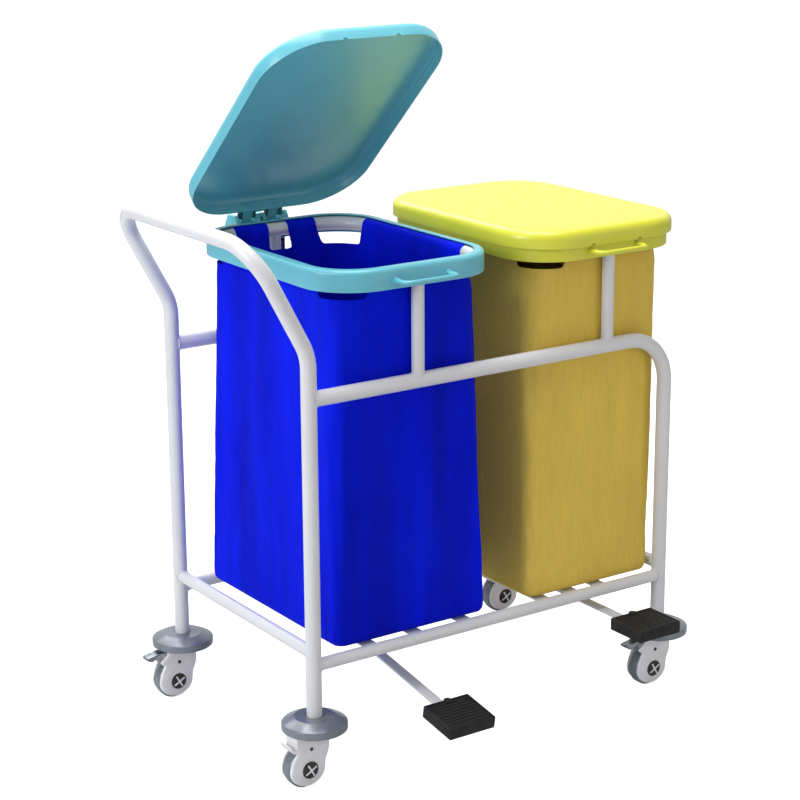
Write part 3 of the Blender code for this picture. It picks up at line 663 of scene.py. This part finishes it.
def build_bottom_rails():
    """The four rails under the deck, each welded to a leg at both ends."""
    long, wide = Vector((LEG_X, 0.0, 0.0)), Vector((0.0, LEG_Y, 0.0))
    for node, name, side, along, across, ends in (
        ("front_bottom_rail", "front_lower_rail", -1, long, wide, ("left", "right")),
        ("rear_bottom_rail", "rear_lower_rail", 1, long, wide, ("left", "right")),
        ("left_end_rail", "left_cross_rail", -1, wide, long, ("front", "rear")),
        ("right_end_rail", "right_cross_rail", 1, wide, long, ("front", "rear")),
    ):
        middle = side * across + Vector((0.0, 0.0, centre(node).z))
        inset = along.normalized() * TUBE_R * 0.7
        add(name, tube([middle - along + inset, middle + along - inset], RAIL_R), "white", "frame", node)
        for end, sign in zip(ends, (1, -1)):
            weld(f"{name}_weld_{end}", saddle(middle - sign * along, sign * along, RAIL_R, TUBE_R))


def build_slats():
    z = centre("front_bottom_rail").z + RAIL_R * 0.5 - 0.001
    for number in range(1, 7):
        node = f"deck_slat_{number}"
        first, second = box_of(node)
        first.y, second.y = -LEG_Y + 0.004, LEG_Y - 0.004
        add(f"deck_bar_{number}", box(first, second, 0.0009), "white", "frame", node)
        for name, sign in (("front", -1), ("rear", 1)):
            y = sign * (LEG_Y - RAIL_R * 0.86)
            path = [(first.x + (second.x - first.x) * step / 8, y, z) for step in range(9)]
            add(f"deck_bar_{number}_weld_{name}", tube(path, 0.002, 3), "white", "frame")


def build_posts(side, x):
    for name, sign in (("front", -1), ("rear", 1)):
        node = f"{name}_post_{side}"
        y = centre(node).y
        path = [(x, y, TOP_RAIL_Z), (x, y, HOOP_Z - HOOP_R * 0.6)]
        add(f"{name}_hoop_post_{side}", tube(path, RAIL_R), "white", "frame", node)
        ring = []
        for step in range(40):
            angle = 2 * pi * step / 40
            across = RAIL_R * cos(angle) + (y - sign * LEG_Y)
            rise = max(TUBE_R**2 - across**2, 0.0) ** 0.5
            ring.append(Vector((x + RAIL_R * sin(angle), y + RAIL_R * cos(angle), TOP_RAIL_Z + rise)))
        weld(f"{name}_hoop_post_weld_{side}", ring)


def build_hoop(side, x):
    half_x, half_y = (high(f"rim_{side}") - low(f"rim_{side}")).xy / 2 - Vector((HOOP_INSET, HOOP_INSET))
    ring = outline(half_x, half_y, RIM_CORNER - HOOP_INSET, 20)
    path = [(x + point.x, point.y, HOOP_Z) for point in ring]
    add(f"hoop_ring_{side}", tube(path, HOOP_R, 7, True), "white", "frame", f"hoop_{side}")


# ---- rims and lids


def drawn_in(x, half, corner, inset, z):
    """Points of a rounded rectangle at height z, an inset inside its full size."""
    points = outline(half[0] - inset, half[1] - inset, max(corner - inset, 0.012), 16, 6, 10)
    return [(x + point.x, point.y, z) for point in points]


def build_rim(side, x, look):
    first, second = box_of(f"rim_{side}")
    bottom, top = first.z, second.z
    half = (second - first) / 2
    corners = [(0.0, bottom), (0.0, top), (RIM_LIP, top)]
    corners += [(RIM_LIP, top - RIM_WALL), (RIM_WALL, top - RIM_WALL), (RIM_WALL, bottom)]
    radii = (0.0009, RIM_ROUND, 0.0011, 0.0011, RIM_ROUND - RIM_WALL, 0.0009)
    rings = [drawn_in(x, half, RIM_CORNER, *point) for point in rounded_pairs(corners, radii)]
    mesh = loft(rings, closed=True)
    add(f"rim_ring_{side}", mesh, look, "frame", f"rim_{side}", 45)


def build_grip(side, x, look):
    """The wire pull at the front of a rim, with a collar where each end enters the rim."""
    first, second = box_of(f"rim_grip_{side}")
    z = (first.z + second.z) / 2
    front, back = first.y + GRIP_R, second.y
    near, far = x - GRIP_W / 2, x + GRIP_W / 2
    corners = [(near, back + 0.001, z), (near, front, z), (far, front, z), (far, back + 0.001, z)]
    wire = tube(rounded(corners, GRIP_CORNER), GRIP_R, 6)
    collars = [
        rod(GRIP_R + 0.0022, (at, back + 0.001, z), (at, back - 0.004, z), 32, 0.001) for at in (near, far)
    ]
    add(f"rim_pull_{side}", combine(wire, collars, "UNION"), look, "frame", f"rim_grip_{side}")


def lid_shell(x):
    """A shallow lid: a skirt with a stepped inner wall, a generous top round and a slightly crowned top."""
    bottom, top = LID_Z
    step_z, roof = bottom + 0.014, top - LID_WALL

    def arcs(corners, radii, step):
        """The rounded corners of a path, without its ends."""
        return [tuple(point.xy) for point in rounded(corners, radii, radians(step))[1:-1]]

    wall, roof_round = LID_WALL, (0.0, LID_ROUND - LID_WALL, 0.0)
    profile = [(0.11, roof), (0.06, roof)]
    profile += arcs([(0.08, roof), (wall, roof - 0.0012), (wall, bottom)], roof_round, 9)
    profile += [(wall, step_z + 0.0012), (wall - 0.001, step_z)]
    edge = [(wall - 0.001, step_z), (wall - 0.001, bottom), (0.0, bottom), (0.0, top)]
    profile += arcs(edge, (0.0, 0.0008, 0.0008, 0.0), 30)
    profile += arcs([(0.0, bottom - 0.01), (0.0, top - 0.0012), (0.08, top)], (0.0, LID_ROUND, 0.0), 9)
    profile += [(0.06, top), (0.11, top)]
    return loft([drawn_in(x, LID_HALF, LID_CORNER, *point) for point in profile], caps=True)


def build_lid(side, x, look):
    """The lid with its hinge arms and crank, and the webs between the arms."""
    axis = pivot(f"lid_hinge_{side}")
    half_open = from_low_end("lid_hinge_left") / 2
    tip = axis - CRANK_R * Vector((cos(half_open), sin(half_open)))
    arm_end = Vector((LID_HALF[1] - 0.004, LID_Z[1] - 0.017))
    joined = []
    for sign in (-1, 1):
        left = x + sign * ARM_OFFSET - ARM_W / 2
        right = left + ARM_W
        joined.append(crossbar(KNUCKLE_R, left, right, axis, 40, 0.001))
        joined.append(beam(axis, arm_end, 0.008, left + 0.001, right - 0.001, 0.0012))
    middle = x + ROD_X
    joined.append(beam(axis, tip, 0.005, middle - 0.005, middle + 0.005, 0.0008))
    joined.append(crossbar(0.005, middle - 0.006, middle + 0.0058, tip, 32, 0.0008))
    mesh = combine(lid_shell(x), joined, "UNION")
    cutters = [crossbar(PIN_R + 0.0003, x - 0.1, x + 0.1, axis, 40)]
    for at in (x - GRIP_W / 2, x + GRIP_W / 2):
        ends = [(at, out - LID_HALF[1], LID_Z[0]) for out in (-0.02, 0.02)]
        cutters.append(rod(0.0055, *ends, 24))
    mesh = combine(mesh, cutters, "DIFFERENCE")
    opened = turn_about(x, axis, -from_low_end(f"lid_hinge_{side}"))
    add(f"lid_cover_{side}", moved(mesh, opened), look, f"lid_{side}", f"lid_{side}", 40)

    reach = arm_end - axis
    clear = axis + reach * ((HINGE_R + WEB_CLEAR) / reach.length)
    near, end = axis + reach * WEB_START, axis + reach * 0.96
    inner, outer = WEB_X
    flanks = [beam(near, end, WEB_T, x + a, x + b, 0.0008) for a, b in ((-outer, -inner), (inner, outer))]
    recess = combine(beam(clear, end, WEB_T, x - outer, x + outer, 0.0008), flanks, "UNION")
    rib = beam(clear, end, WEB_T, x - inner, x + inner, 0.0008)
    # The recess web takes the darker copy of the plastic, painted shade in the hinge pocket; the rib keeps
    # the plain plastic.
    for name, web, finish, back in (("recess", recess, f"{look}_shade", 0.003), ("rib", rib, look, 0.0)):
        web.transform(opened @ Matrix.Translation((0.0, back, -0.002)))
        add(f"lid_hinge_{name}_{side}", web, finish, f"lid_{side}", smooth=40)


def build_hinge(side, x, look):
    """The bracket, and its pin with two coil springs."""
    axis = pivot(f"lid_hinge_{side}")
    node = frame["nodes"][f"hinge_bracket_{side}"]
    slot = box((x - 0.0028, axis.x - 0.035, axis.y - 0.011), (x + 0.0028, axis.x - 0.009, axis.y + 0.017))
    bracket = softened(combine(about_legs(node), [slot], "DIFFERENCE"), 0.0007, 40)
    add(f"hinge_body_{side}", bracket, look, "frame", f"hinge_bracket_{side}", 40)
    half = HINGE_W / 2 + 0.0006
    ends = ((x - half - 0.002, x - half), (x + half, x + half + 0.002))
    heads = [crossbar(0.0065, *end, axis, 32, 0.0006) for end in ends]
    pin = combine(crossbar(PIN_R, x - half, x + half, axis), heads, "UNION")
    add(f"hinge_rod_{side}", pin, "gold", "frame", f"hinge_pin_{side}")
    turns, steps = 5, 20
    for name, start in SPRINGS:
        path = []
        for step in range(turns * steps + 1):
            angle = 2 * pi * step / steps
            coil = axis + SPRING_R * Vector((cos(angle), sin(angle)))
            path.append(Vector((x + start + SPRING_LENGTH * step / (turns * steps), *coil)))
        add(f"hinge_spring_{side}_{name}", tube(path, SPRING_WIRE, 2), "gold", "frame", smooth=60)


# ---- bags

BAG_LEVELS = (  # half length, half depth, corner radius, height below the hoop
    (0.1650, 0.2405, 0.066, 0.935),
    (0.1680, 0.2420, 0.058, 0.905),
    (0.1700, 0.2430, 0.050, 0.780),
    (0.1735, 0.2468, 0.042, 0.600),
    (0.1765, 0.2490, 0.032, 0.400),
    (0.1780, 0.2478, 0.025, 0.300),
    (0.1775, 0.2458, 0.022, 0.262),
    (0.1740, 0.2423, 0.020, 0.2510),
    (0.1650, 0.2335, 0.016, 0.2480),
)
BAG_FIT = {"left": (-0.003, 0.0, 0.0), "right": (0.0, -0.0219, 0.0184)}  # shift, lean and trim along X
CUFF_STEPS = 12
ARC_STEPS = 10
SIDE_X_STEPS = 16
SIDE_Y_STEPS = 28
ROW = 0.012
WEAVE_STEP = 0.0122
CUT_OUT_Z = 0.921
UNDER_RIM_Z = 0.946
STRAP_SLANT = 0.010
RAIL_BAND = (0.735, 0.957, 0.2440)
FOLDS = (0.0068, 0.0022)
CLOTH_EASE = 1.012
CLOTH_FRAMES = 24
CLOTH_SPRINGS = (("tension", 12, 10), ("compression", 12, 10), ("shear", 4, 10), ("bending", 0.4, 1))
CLOTH_CAP = 0.008


def bag_profile(side):
    """Every level of a bag: its shift along X, half length, half depth, corner radius and height."""
    half = (high(f"rim_{side}") - low(f"rim_{side}")) / 2
    hoop_x, hoop_y = half.x - HOOP_INSET, half.y - HOOP_INSET
    reach = HOOP_R + 0.0009
    levels = []
    for step in range(CUFF_STEPS + 1):
        angle = -0.9 + (pi + 0.9) * step / CUFF_STEPS
        out = reach * cos(angle)
        corner = RIM_CORNER - HOOP_INSET + out
        levels.append((0.0, hoop_x + out, hoop_y + out, corner, HOOP_Z + reach * sin(angle)))
    top, floor = BAG_LEVELS[0][3], BAG_LEVELS[-1][3]
    shift, lean, trim = BAG_FIT[side]
    for index, (half_x, half_y, corner, z) in enumerate(BAG_LEVELS):
        share = (top - z) / (top - floor)
        level = (shift + lean * share, half_x - trim * share, half_y, corner, z)
        before = levels[-1]
        count = round((before[4] - z) / ROW) if index else 0
        for step in range(1, count):
            levels.append(tuple(a + (b - a) * (step / count) for a, b in zip(before, level)))
        levels.append(level)
    return levels


def is_cut_out(column, z):
    """Whether the cloth is cut away: at the four corners, and at the middle of the rear for the hinge."""
    if z < CUT_OUT_Z:
        return False
    run = ARC_STEPS + SIDE_X_STEPS
    stretch = 2 * ARC_STEPS + SIDE_X_STEPS + SIDE_Y_STEPS
    place = column % stretch
    if column < ARC_STEPS:
        return 0 < column < ARC_STEPS - 1
    if stretch + run <= column < stretch + run + ARC_STEPS and z < UNDER_RIM_Z:
        return False
    if place < ARC_STEPS or run <= place < run + ARC_STEPS:
        return True
    return column < stretch and z > CUT_OUT_Z + 0.005 and ARC_STEPS + 5 <= column < ARC_STEPS + 9


def slant(point):
    """How far a strap at the rear leans towards -X on its way up over the hoop."""
    rise = min(max((point.z - CUT_OUT_Z) / (HOOP_Z - CUT_OUT_Z), 0.0), 1.0)
    return 0.003 * (rise > 0) + STRAP_SLANT * rise if point.y > 0.2 else 0.0


def fold(x, y, z, normal, side):
    """Soft vertical folds: how far a point of the wall moves along its outward normal."""
    seed = 3.1 if side == "left" else 11.7
    along = x * abs(normal.y) + y * abs(normal.x)
    fall = min(max((0.93 - z) / 0.25, 0.0), 1.0) * min(max((z - 0.262) / 0.12, 0.0), 1.0)
    broad = noise.noise(Vector((along * 13.0, z * 1.3, seed))) - 0.25
    fine = noise.noise(Vector((along * 34.0, z * 3.0, seed + 5.0)))
    return fall * (FOLDS[0] * broad + FOLDS[1] * fine)


def hung(mesh, x):
    """The cloth after it has hung from its hoop. It is a little wider than the hoop, so it falls in folds."""
    obj = link("cloth", mesh)
    obj.shape_key_add(name="Basis")
    cut = obj.shape_key_add(name="cut")
    starts = [vertex.co.copy() for vertex in mesh.vertices]
    for point, start in zip(cut.data, starts):
        point.co = (x + (start.x - x) * CLOTH_EASE, start.y * CLOTH_EASE, start.z)
    cut.value = 0.0
    pins = obj.vertex_groups.new(name="pins")
    hanging = BAG_LEVELS[-3][3], CUT_OUT_Z
    held = [vertex.index for vertex in mesh.vertices if not hanging[0] < vertex.co.z < hanging[1]]
    pins.add(held, 1.0, "REPLACE")
    cloth = obj.modifiers.new("Cloth", "CLOTH")
    settings = cloth.settings
    settings.quality = 6
    settings.mass = 0.02
    settings.vertex_group_mass = "pins"
    settings.rest_shape_key = cut
    for name, stiffness, damping in CLOTH_SPRINGS:
        setattr(settings, f"{name}_stiffness", stiffness)
        setattr(settings, f"{name}_damping", damping)
    cloth.collision_settings.use_collision = False
    cloth.point_cache.frame_start = 1
    cloth.point_cache.frame_end = CLOTH_FRAMES
    scene = bpy.context.scene
    for number in range(1, CLOTH_FRAMES + 1):
        scene.frame_set(number)
    made = evaluated(obj)
    scene.frame_set(1)
    for vertex, start in zip(made.vertices, starts):
        step = vertex.co - start
        if step.length > CLOTH_CAP:
            vertex.co = start + step.normalized() * CLOTH_CAP
    return made


def build_bag(side, x, look):
    levels = bag_profile(side)
    bm = bmesh.new()
    weave = bm.loops.layers.uv.new("weave")
    grid = []
    for shift, half_x, half_y, corner, z in levels:
        points = outline(half_x, half_y, corner, ARC_STEPS, SIDE_X_STEPS, SIDE_Y_STEPS)
        row = [Vector((shift + point.x, point.y, z)) for point in points]
        count = len(row)
        line = []
        for index, point in enumerate(row):
            tangent = (row[(index + 1) % count] - row[index - 1]).normalized()
            normal = Vector((tangent.y, -tangent.x, 0.0))
            place = point + normal * fold(point.x, point.y, point.z, normal, side)
            line.append(bm.verts.new((x + place.x - slant(point), place.y, place.z)))
        grid.append(line)
    for level, (upper, lower) in enumerate(zip(grid, grid[1:])):
        z = (levels[level][4] + levels[level + 1][4]) / 2
        for index in range(count):
            if (level <= CUFF_STEPS or z > CUT_OUT_Z) and is_cut_out(index, z):
                continue
            following = (index + 1) % count
            face = bm.faces.new((upper[index], upper[following], lower[following], lower[index]))
            for loop, (across, down) in zip(face.loops, ((0, 0), (1, 0), (1, 1), (0, 1))):
                loop[weave].uv = ((index + across) * WEAVE_STEP, levels[level + down][4])
    floor = bm.faces.new(grid[-1])
    for loop in floor.loops:
        loop[weave].uv = loop.vert.co.xy
    bmesh.ops.delete(bm, geom=[v for v in bm.verts if not v.link_faces], context="VERTS")
    mesh = mesh_from(bm)
    mesh = hung(mesh, x)
    for vertex in mesh.vertices:
        if RAIL_BAND[0] < vertex.co.z < RAIL_BAND[1]:
            vertex.co.y = min(max(vertex.co.y, -RAIL_BAND[2]), RAIL_BAND[2])
    obj = link("cloth", mesh)
    solid = obj.modifiers.new("Solidify", "SOLIDIFY")
    solid.thickness = 0.0009
    solid.offset = 0.0
    smooth = obj.modifiers.new("Subdivision", "SUBSURF")
    smooth.levels = 1
    mesh = evaluated(obj)
    add(f"bag_cloth_{side}", mesh, look, "frame", f"bag_{side}", 60)


# ---- pedals and push rods


def build_pedal(side, x):
    pivot_y, pivot_z = pivot(f"pedal_pivot_{side}")
    turn = turn_about(x, (pivot_y, pivot_z), from_low_end(f"pedal_pivot_{side}"))
    half, flat = LEVER_W / 2, LEVER_T / 2
    lever = box((x - half, LEVER_Y[0], pivot_z - flat), (x + half, LEVER_Y[1], pivot_z + flat), 0.0008)
    sleeve = crossbar(SLEEVE_R, x - half, x + half, (pivot_y, pivot_z), 40, 0.0006)
    bore = crossbar(0.0053, x - 0.03, x + 0.03, (pivot_y, pivot_z), 40)
    lever = combine(combine(lever, [sleeve], "UNION"), [bore], "DIFFERENCE")
    body = f"pedal_{side}"
    add(f"pedal_arm_{side}", moved(lever, turn), "white", body, f"pedal_lever_{side}")
    add(f"pedal_tread_{side}", moved(tread(x), turn), "pad", body, f"pedal_pad_{side}", 40)
    first, second = box_of(f"pedal_bracket_{side}")
    top, thick = second.z, 0.003
    inner = half + 0.001
    out = inner + thick
    plates = [
        box((x + a, pivot_y - 0.015, pivot_z - 0.011), (x + b, pivot_y + 0.015, top - 0.0004), 0.0006)
        for a, b in ((-out, -inner), (inner, out))
    ]
    pin = crossbar(0.005, first.x, second.x, (pivot_y, pivot_z), 32, 0.0006)
    bridge = box((x - out, pivot_y - 0.0151, top - thick), (x + out, pivot_y + 0.0151, top), 0.0006)
    hanger = combine(bridge, [*plates, pin], "UNION")
    add(f"pedal_hanger_{side}", hanger, "zinc", "frame", f"pedal_bracket_{side}")


def tread(x):
    """A rubber foot pad with fine ridges along X inside a plain border, and a small boss behind."""
    floor_z, top = PAD_Z
    border = 0.005
    left, right = x - PAD_X / 2, x + PAD_X / 2
    pad = box((left, PAD_Y[0], floor_z), (right, PAD_Y[1], top), 0.0018)
    inside = left + border, right - border
    pocket = box((inside[0], PAD_Y[0] + border, top - 0.0016), (inside[1], PAD_Y[1] - border, top + 0.01))
    pad = combine(pad, [pocket], "DIFFERENCE")
    ridges = []
    count = 9
    span = PAD_Y[1] - PAD_Y[0] - 2 * border
    for index in range(count):
        y = PAD_Y[0] + border + span * (index + 0.5) / count
        corner = (inside[0] + 0.0015, y - 0.0028, top - 0.003)
        ridges.append(box(corner, (inside[1] - 0.0015, y + 0.0028, top - 0.0001), 0.0009))
    boss = rod(0.0085, (x, PAD_Y[1] - 0.007, top - 0.004), (x, PAD_Y[1] - 0.007, top + 0.0035), 32, 0.0016)
    return combine(pad, [*ridges, boss], "UNION")


def build_push_rod(side, x):
    node = f"push_rod_{side}"
    first, second = box_of(node)
    middle = x + ROD_X
    y = centre(node).y
    strip = box((middle - 0.006, y - 0.0015, first.z), (middle + 0.006, y + 0.0015, second.z), 0.0005)
    foot = first.z
    shelf = box((x - 0.008, y - 0.0019, foot - 0.0001), (middle + 0.005, y + 0.0019, foot + 0.004), 0.0005)
    cap = box((middle - 0.007, y - 0.006, second.z - 0.003), (middle + 0.007, y + 0.006, second.z), 0.0006)
    add(f"lift_rod_{side}", combine(strip, [shelf, cap], "UNION"), "gold", node, node)
    guide_node = f"rod_guide_{side}"
    guide = softened(about_legs(frame["nodes"][guide_node]), 0.0004)
    add(f"lift_rod_guide_{side}", guide, "zinc", "frame", guide_node)


# ---- castors


def fork_points(braked):
    """Side view of the housing: an egg about the axle that rises into a block under the bumper."""
    wide, tall = FORK_EGG
    middle_x, middle_z = FORK_EGG_AT
    if braked:
        points = [(-0.0450, FORK_TOP), (-0.0455, 0.1000), (-0.0490, 0.0950), (-0.0580, 0.0885)]
        points += [(-0.0620, 0.0850), (-0.0612, 0.0830), (-0.0560, 0.0780), (-0.0530, 0.0755)]
        points += [(-0.0572, 0.0675), (-0.0614, 0.0578)]
    else:
        points = [(FORK_BACK, FORK_TOP), (FORK_BACK, 0.0780), (-0.0500, 0.0735), (-0.0565, 0.0660)]
        points.append((-0.0614, 0.0578))
    for index in range(49):
        angle = radians(165) + radians(195) * index / 48
        points.append((middle_x + wide * cos(angle), middle_z + tall * sin(angle)))
    points += [(0.0122, 0.0460), (0.0137, 0.0547), (0.0170, 0.0620), (0.0205, 0.0715), (0.0213, 0.0830)]
    return points + [(0.0213, FORK_TOP)]


def crosswise(radius, x, z, near, far, segments):
    """A rod along Y at a place in a castor's side view."""
    return rod(radius, (x, near, z), (x, far, z), segments)


def fork_mesh(braked):
    """The housing. Without a brake its back is closed, and ends in a thin mudguard over the tyre."""
    cutters = [
        crosswise(WHEEL_R + 0.003, -TRAIL, WHEEL_R, -FORK_IN, FORK_IN, 96),
        box((-0.080, -FORK_IN, -0.001), (-0.0305, FORK_IN, SLOT_TOP)),
    ]
    if braked:
        cutters.append(box((-0.081, -FORK_IN, SLOT_TOP - 0.01), (-0.040, FORK_IN, 0.12)))
    at = HUB_CAP_AHEAD - TRAIL
    for sign in (-1, 1):
        ends = sign * (CHEEK_OUT - 0.0008), sign * 0.03
        cutters.append(crosswise(HUB_CAP_R + 0.0006, at, WHEEL_R, *ends, 64))
    mesh = combine(extruded(fork_points(braked), 2 * CHEEK_OUT, 0.0035), cutters, "DIFFERENCE")
    joined = [
        rod(0.006, (0, 0, FORK_TOP - 0.004), (0, 0, BUMPER_Z[1] - 0.004), 32),
        crosswise(0.004, -TRAIL, WHEEL_R, -0.018, 0.018, 32),
    ]
    if not braked:
        side = [(-0.0500, 0.0865), (-0.0545, 0.0850), (-0.0600, 0.0880), (-0.0650, 0.0940)]
        side += [(-0.0662, 0.0928), (-0.0635, 0.0850), (-0.0590, 0.0790), (-0.0500, 0.0760)]
        joined.append(extruded(side, 2 * CHEEK_OUT - 0.001, 0.0009))
    return combine(mesh, joined, "UNION")


def beside_wheel(sign):
    hub = Vector((HUB_CAP_AHEAD - TRAIL, 0.0, WHEEL_R))
    return Matrix.Translation(hub) @ Matrix.Rotation(-sign * pi / 2, 4, "X")


def cap_mesh(sign):
    """The black disc beside an axle end, and the head of the pin above it."""
    inner = CHEEK_OUT - 0.0012
    profile = [(0.0, 0.0238), (0.010, 0.0235), (HUB_CAP_R - 0.0015, 0.0222), (HUB_CAP_R, 0.0208)]
    profile += [(HUB_CAP_R, inner), (0.0, inner)]
    pin = crosswise(0.0040, *PIN_AT, sign * 0.018, sign * (CHEEK_OUT + 0.0002), 32)
    return combine(turned(profile, beside_wheel(sign), 64), [pin], "UNION")


def spokes_mesh(sign):
    """Four plain spokes on the black disc, in the housing's plastic."""
    turn = beside_wheel(sign)
    boss = turned([(0.0, 0.0245), (0.0034, 0.0243), (0.0040, 0.0225), (0.0, 0.0225)], turn, 32)
    bars = []
    for degrees, top in ((30, 0.0242), (120, 0.0241)):
        spin = Matrix.Rotation(radians(degrees), 4, "Z")
        bars.append(moved(box((-0.0135, -0.0017, 0.0215), (0.0135, 0.0017, top), 0.0005), turn @ spin))
    return combine(boss, bars, "UNION")


def tyre_mesh():
    half = 0.0125
    inner = WHEEL_R - 0.008
    corners = [(WHEEL_R, half), (WHEEL_R, -half), (inner, -half + 0.001), (inner, half - 0.001)]
    return turned(rounded_pairs(corners, (0.005, 0.005, 0.0008, 0.0008)), Matrix.Rotation(pi / 2, 4, "X"))


def core_mesh():
    """The wheel's centre, the same on both sides: a rim, a sunken web and a hub."""
    half = 0.0125
    outer = WHEEL_R - 0.0083
    one_side = [(outer, 0.002 - half), (outer - 0.004, 0.003 - half), (0.014, 0.005 - half)]
    one_side += [(0.010, -half), (0.0043, -half)]
    corners = one_side + [(radius, -height) for radius, height in reversed(one_side)]
    return turned(rounded_pairs(corners, 0.0007), Matrix.Rotation(pi / 2, 4, "X"))


def bumper_profile():
    """Half of the disc's section: a flat top, a cone, a wall, and a socket for the leg."""
    bottom, top = BUMPER_Z
    corners = [(0.0205, top), (0.0395, top - 0.0008), (0.0618, top - 0.0112), (BUMPER_R, top - 0.0130)]
    corners += [(BUMPER_R, bottom + 0.0015), (BUMPER_R - 0.002, bottom), (0.0063, bottom)]
    corners += [(0.0063, bottom + 0.0035), (0.0153, bottom + 0.0037), (0.0153, top - 0.001), (0.0165, top)]
    return rounded_pairs(
        corners, (0.002, 0.0015, 0.0014, 0.0010, 0.0008, 0.001, 0.0, 0.0, 0.0, 0.0004, 0.0006)
    )


def brake_mesh():
    """A pressed lever that stands out over the tyre, with a rolled lip on a cross pin."""
    half = FORK_IN - 0.0008
    x, z = BRAKE_PIVOT
    pin = rod(0.0045, (x, -half, z), (x, half, z), 32, 0.0006)
    steps = [(0.0020, 0.0045), (-0.0120, 0.0046), (-0.0220, 0.0020), (-0.0300, 0.0010), (-0.0415, -0.0015)]
    steps += [(-0.0430, -0.0060), (-0.0360, -0.0100), (-0.0290, -0.0105), (-0.0230, -0.0060)]
    steps += [(-0.0200, -0.0020), (-0.0100, 0.0005), (0.0020, 0.0)]
    side = [(x + ahead, z + rise) for ahead, rise in steps]
    return combine(extruded(side, 2 * half - 0.003, 0.0009), [pin], "UNION")


def build_castors():
    forks = {braked: fork_mesh(braked) for braked in (False, True)}
    caps = [(name, cap_mesh(sign), spokes_mesh(sign)) for name, sign in (("near", -1), ("far", 1))]
    tyre, core, brake = tyre_mesh(), core_mesh(), brake_mesh()
    bumper = turned(bumper_profile())
    for corner, at in CORNERS.items():
        here = Matrix.Translation((at.x, at.y, 0.0))
        axle = here @ Matrix.Translation((-TRAIL, 0.0, WHEEL_R))
        castor, wheel, braked = f"castor_{corner}", f"wheel_{corner}", corner in BRAKED
        add(f"bumper_disc_{corner}", moved(bumper, here), "bumper", "frame", f"bumper_{corner}")
        housing = moved(forks[braked], here)
        add(f"castor_housing_{corner}", housing, "housing", castor, f"castor_fork_{corner}", 40)
        for name, disc, spokes in caps:
            add(f"hub_cap_{corner}_{name}", moved(disc, here), "cap", castor)
            add(f"hub_spokes_{corner}_{name}", moved(spokes, here), "housing", castor)
        add(f"wheel_tyre_{corner}", moved(tyre, axle), "tyre", wheel, f"tyre_{corner}")
        add(f"wheel_hub_{corner}", moved(core, axle), "housing", wheel, f"wheel_core_{corner}")
        if braked:
            lever = moved(brake, here)
            add(f"brake_pedal_{corner}", lever, "steel", f"brake_{corner}", f"brake_lever_{corner}")


# ---- stage


def light_world(tree):
    """White for the camera, even and dim for diffuse light, and a bright far side in reflections."""
    ray = make_node(tree, "ShaderNodeLightPath").outputs
    way = make_node(tree, "ShaderNodeTexCoord").outputs["Generated"]
    facing = make_node(tree, "ShaderNodeVectorMath", {0: way, 1: FAR_SIDE}, operation="DOT_PRODUCT")
    inputs = {"Value": facing.outputs["Value"], "From Min": 0.2, "From Max": 0.95}
    inputs |= {"To Min": REFLECTED[0], "To Max": REFLECTED[1]}
    shine = make_node(tree, "ShaderNodeMapRange", inputs, interpolation_type="SMOOTHSTEP")
    inputs = {"Factor": ray["Is Glossy Ray"], "A": AMBIENT, "B": shine.outputs["Result"]}
    lit = make_node(tree, "ShaderNodeMix", inputs).outputs["Result"]
    seen = make_node(tree, "ShaderNodeMix", {"Factor": ray["Is Camera Ray"], "A": lit, "B": 1.0})
    backdrop = tree.nodes["Background"].inputs
    backdrop["Color"].default_value = (1.0, 1.0, 1.0, 1.0)
    tree.links.new(seen.outputs["Result"], backdrop["Strength"])


def build_stage():
    bm = bmesh.new()
    bmesh.ops.create_grid(bm, x_segments=1, y_segments=1, size=40.0)
    floor = link("floor", mesh_from(bm))
    look = Look("floor", (0.62, 0.62, 0.64), 0.9)
    look.set("Specular IOR Level", 0.0)
    seen = look.node("ShaderNodeLightPath").outputs["Is Camera Ray"]
    look.set("Emission Color", (1.0, 1.0, 1.0, 1.0))
    look.set("Emission Strength", look.math("MULTIPLY", seen, FLOOR_GLOW))
    floor.data.materials.append(look.material)

    world = bpy.data.worlds.new("studio")
    bpy.context.scene.world = world
    world.use_nodes = True
    light_world(world.node_tree)

    aim = MIDDLE + Vector((0.0, 0.0, 0.6))
    for name, place, size, watts, colour in (
        ("key", (-3.6, -0.3, 2.0), 1.8, 80.0, (0.95, 0.97, 1.0)),
        ("top", (-0.2, 0.1, 3.8), 2.2, 98.0, (1.0, 1.0, 1.0)),
        ("fill", (1.6, -3.5, 1.4), 2.4, 19.0, (1.0, 0.96, 0.90)),
        ("rim", (0.3, 2.5, 3.2), 2.4, 60.0, (0.97, 0.98, 1.0)),
    ):
        lamp = bpy.data.lights.new(name, "AREA")
        lamp.energy = watts
        lamp.size = size
        lamp.color = colour
        light = link(name, lamp)
        light.location = MIDDLE + Vector(place)
        light.rotation_euler = (aim - light.location).to_track_quat("-Z", "Y").to_euler()

    camera = bpy.data.cameras.new("camera")
    camera.lens = LENS
    camera.sensor_width = 36.0
    viewer = link("camera", camera)
    viewer.location = MIDDLE + Vector(CAMERA_AT)
    facing = Vector(CAMERA_FACING).to_track_quat("-Z", "Y").to_matrix().to_4x4()
    viewer.rotation_euler = (facing @ Matrix.Rotation(radians(CAMERA_ROLL), 4, "Z")).to_euler()
    bpy.context.scene.camera = viewer
    bpy.context.scene.view_settings.view_transform = "Standard"


def main():
    build_handle()
    build_sides()
    build_bottom_rails()
    build_slats()
    for side, plastic, fabric in (("left", "turquoise", "blue"), ("right", "yellow", "mustard")):
        x = STATIONS[side]
        build_posts(side, x)
        build_hoop(side, x)
        build_rim(side, x, plastic)
        build_grip(side, x, plastic)
        build_bag(side, x, fabric)
        build_hinge(side, x, plastic)
        build_lid(side, x, plastic)
        build_pedal(side, x)
        build_push_rod(side, x)
    build_castors()
    build_stage()


main()
bpy.context.view_layer.update()
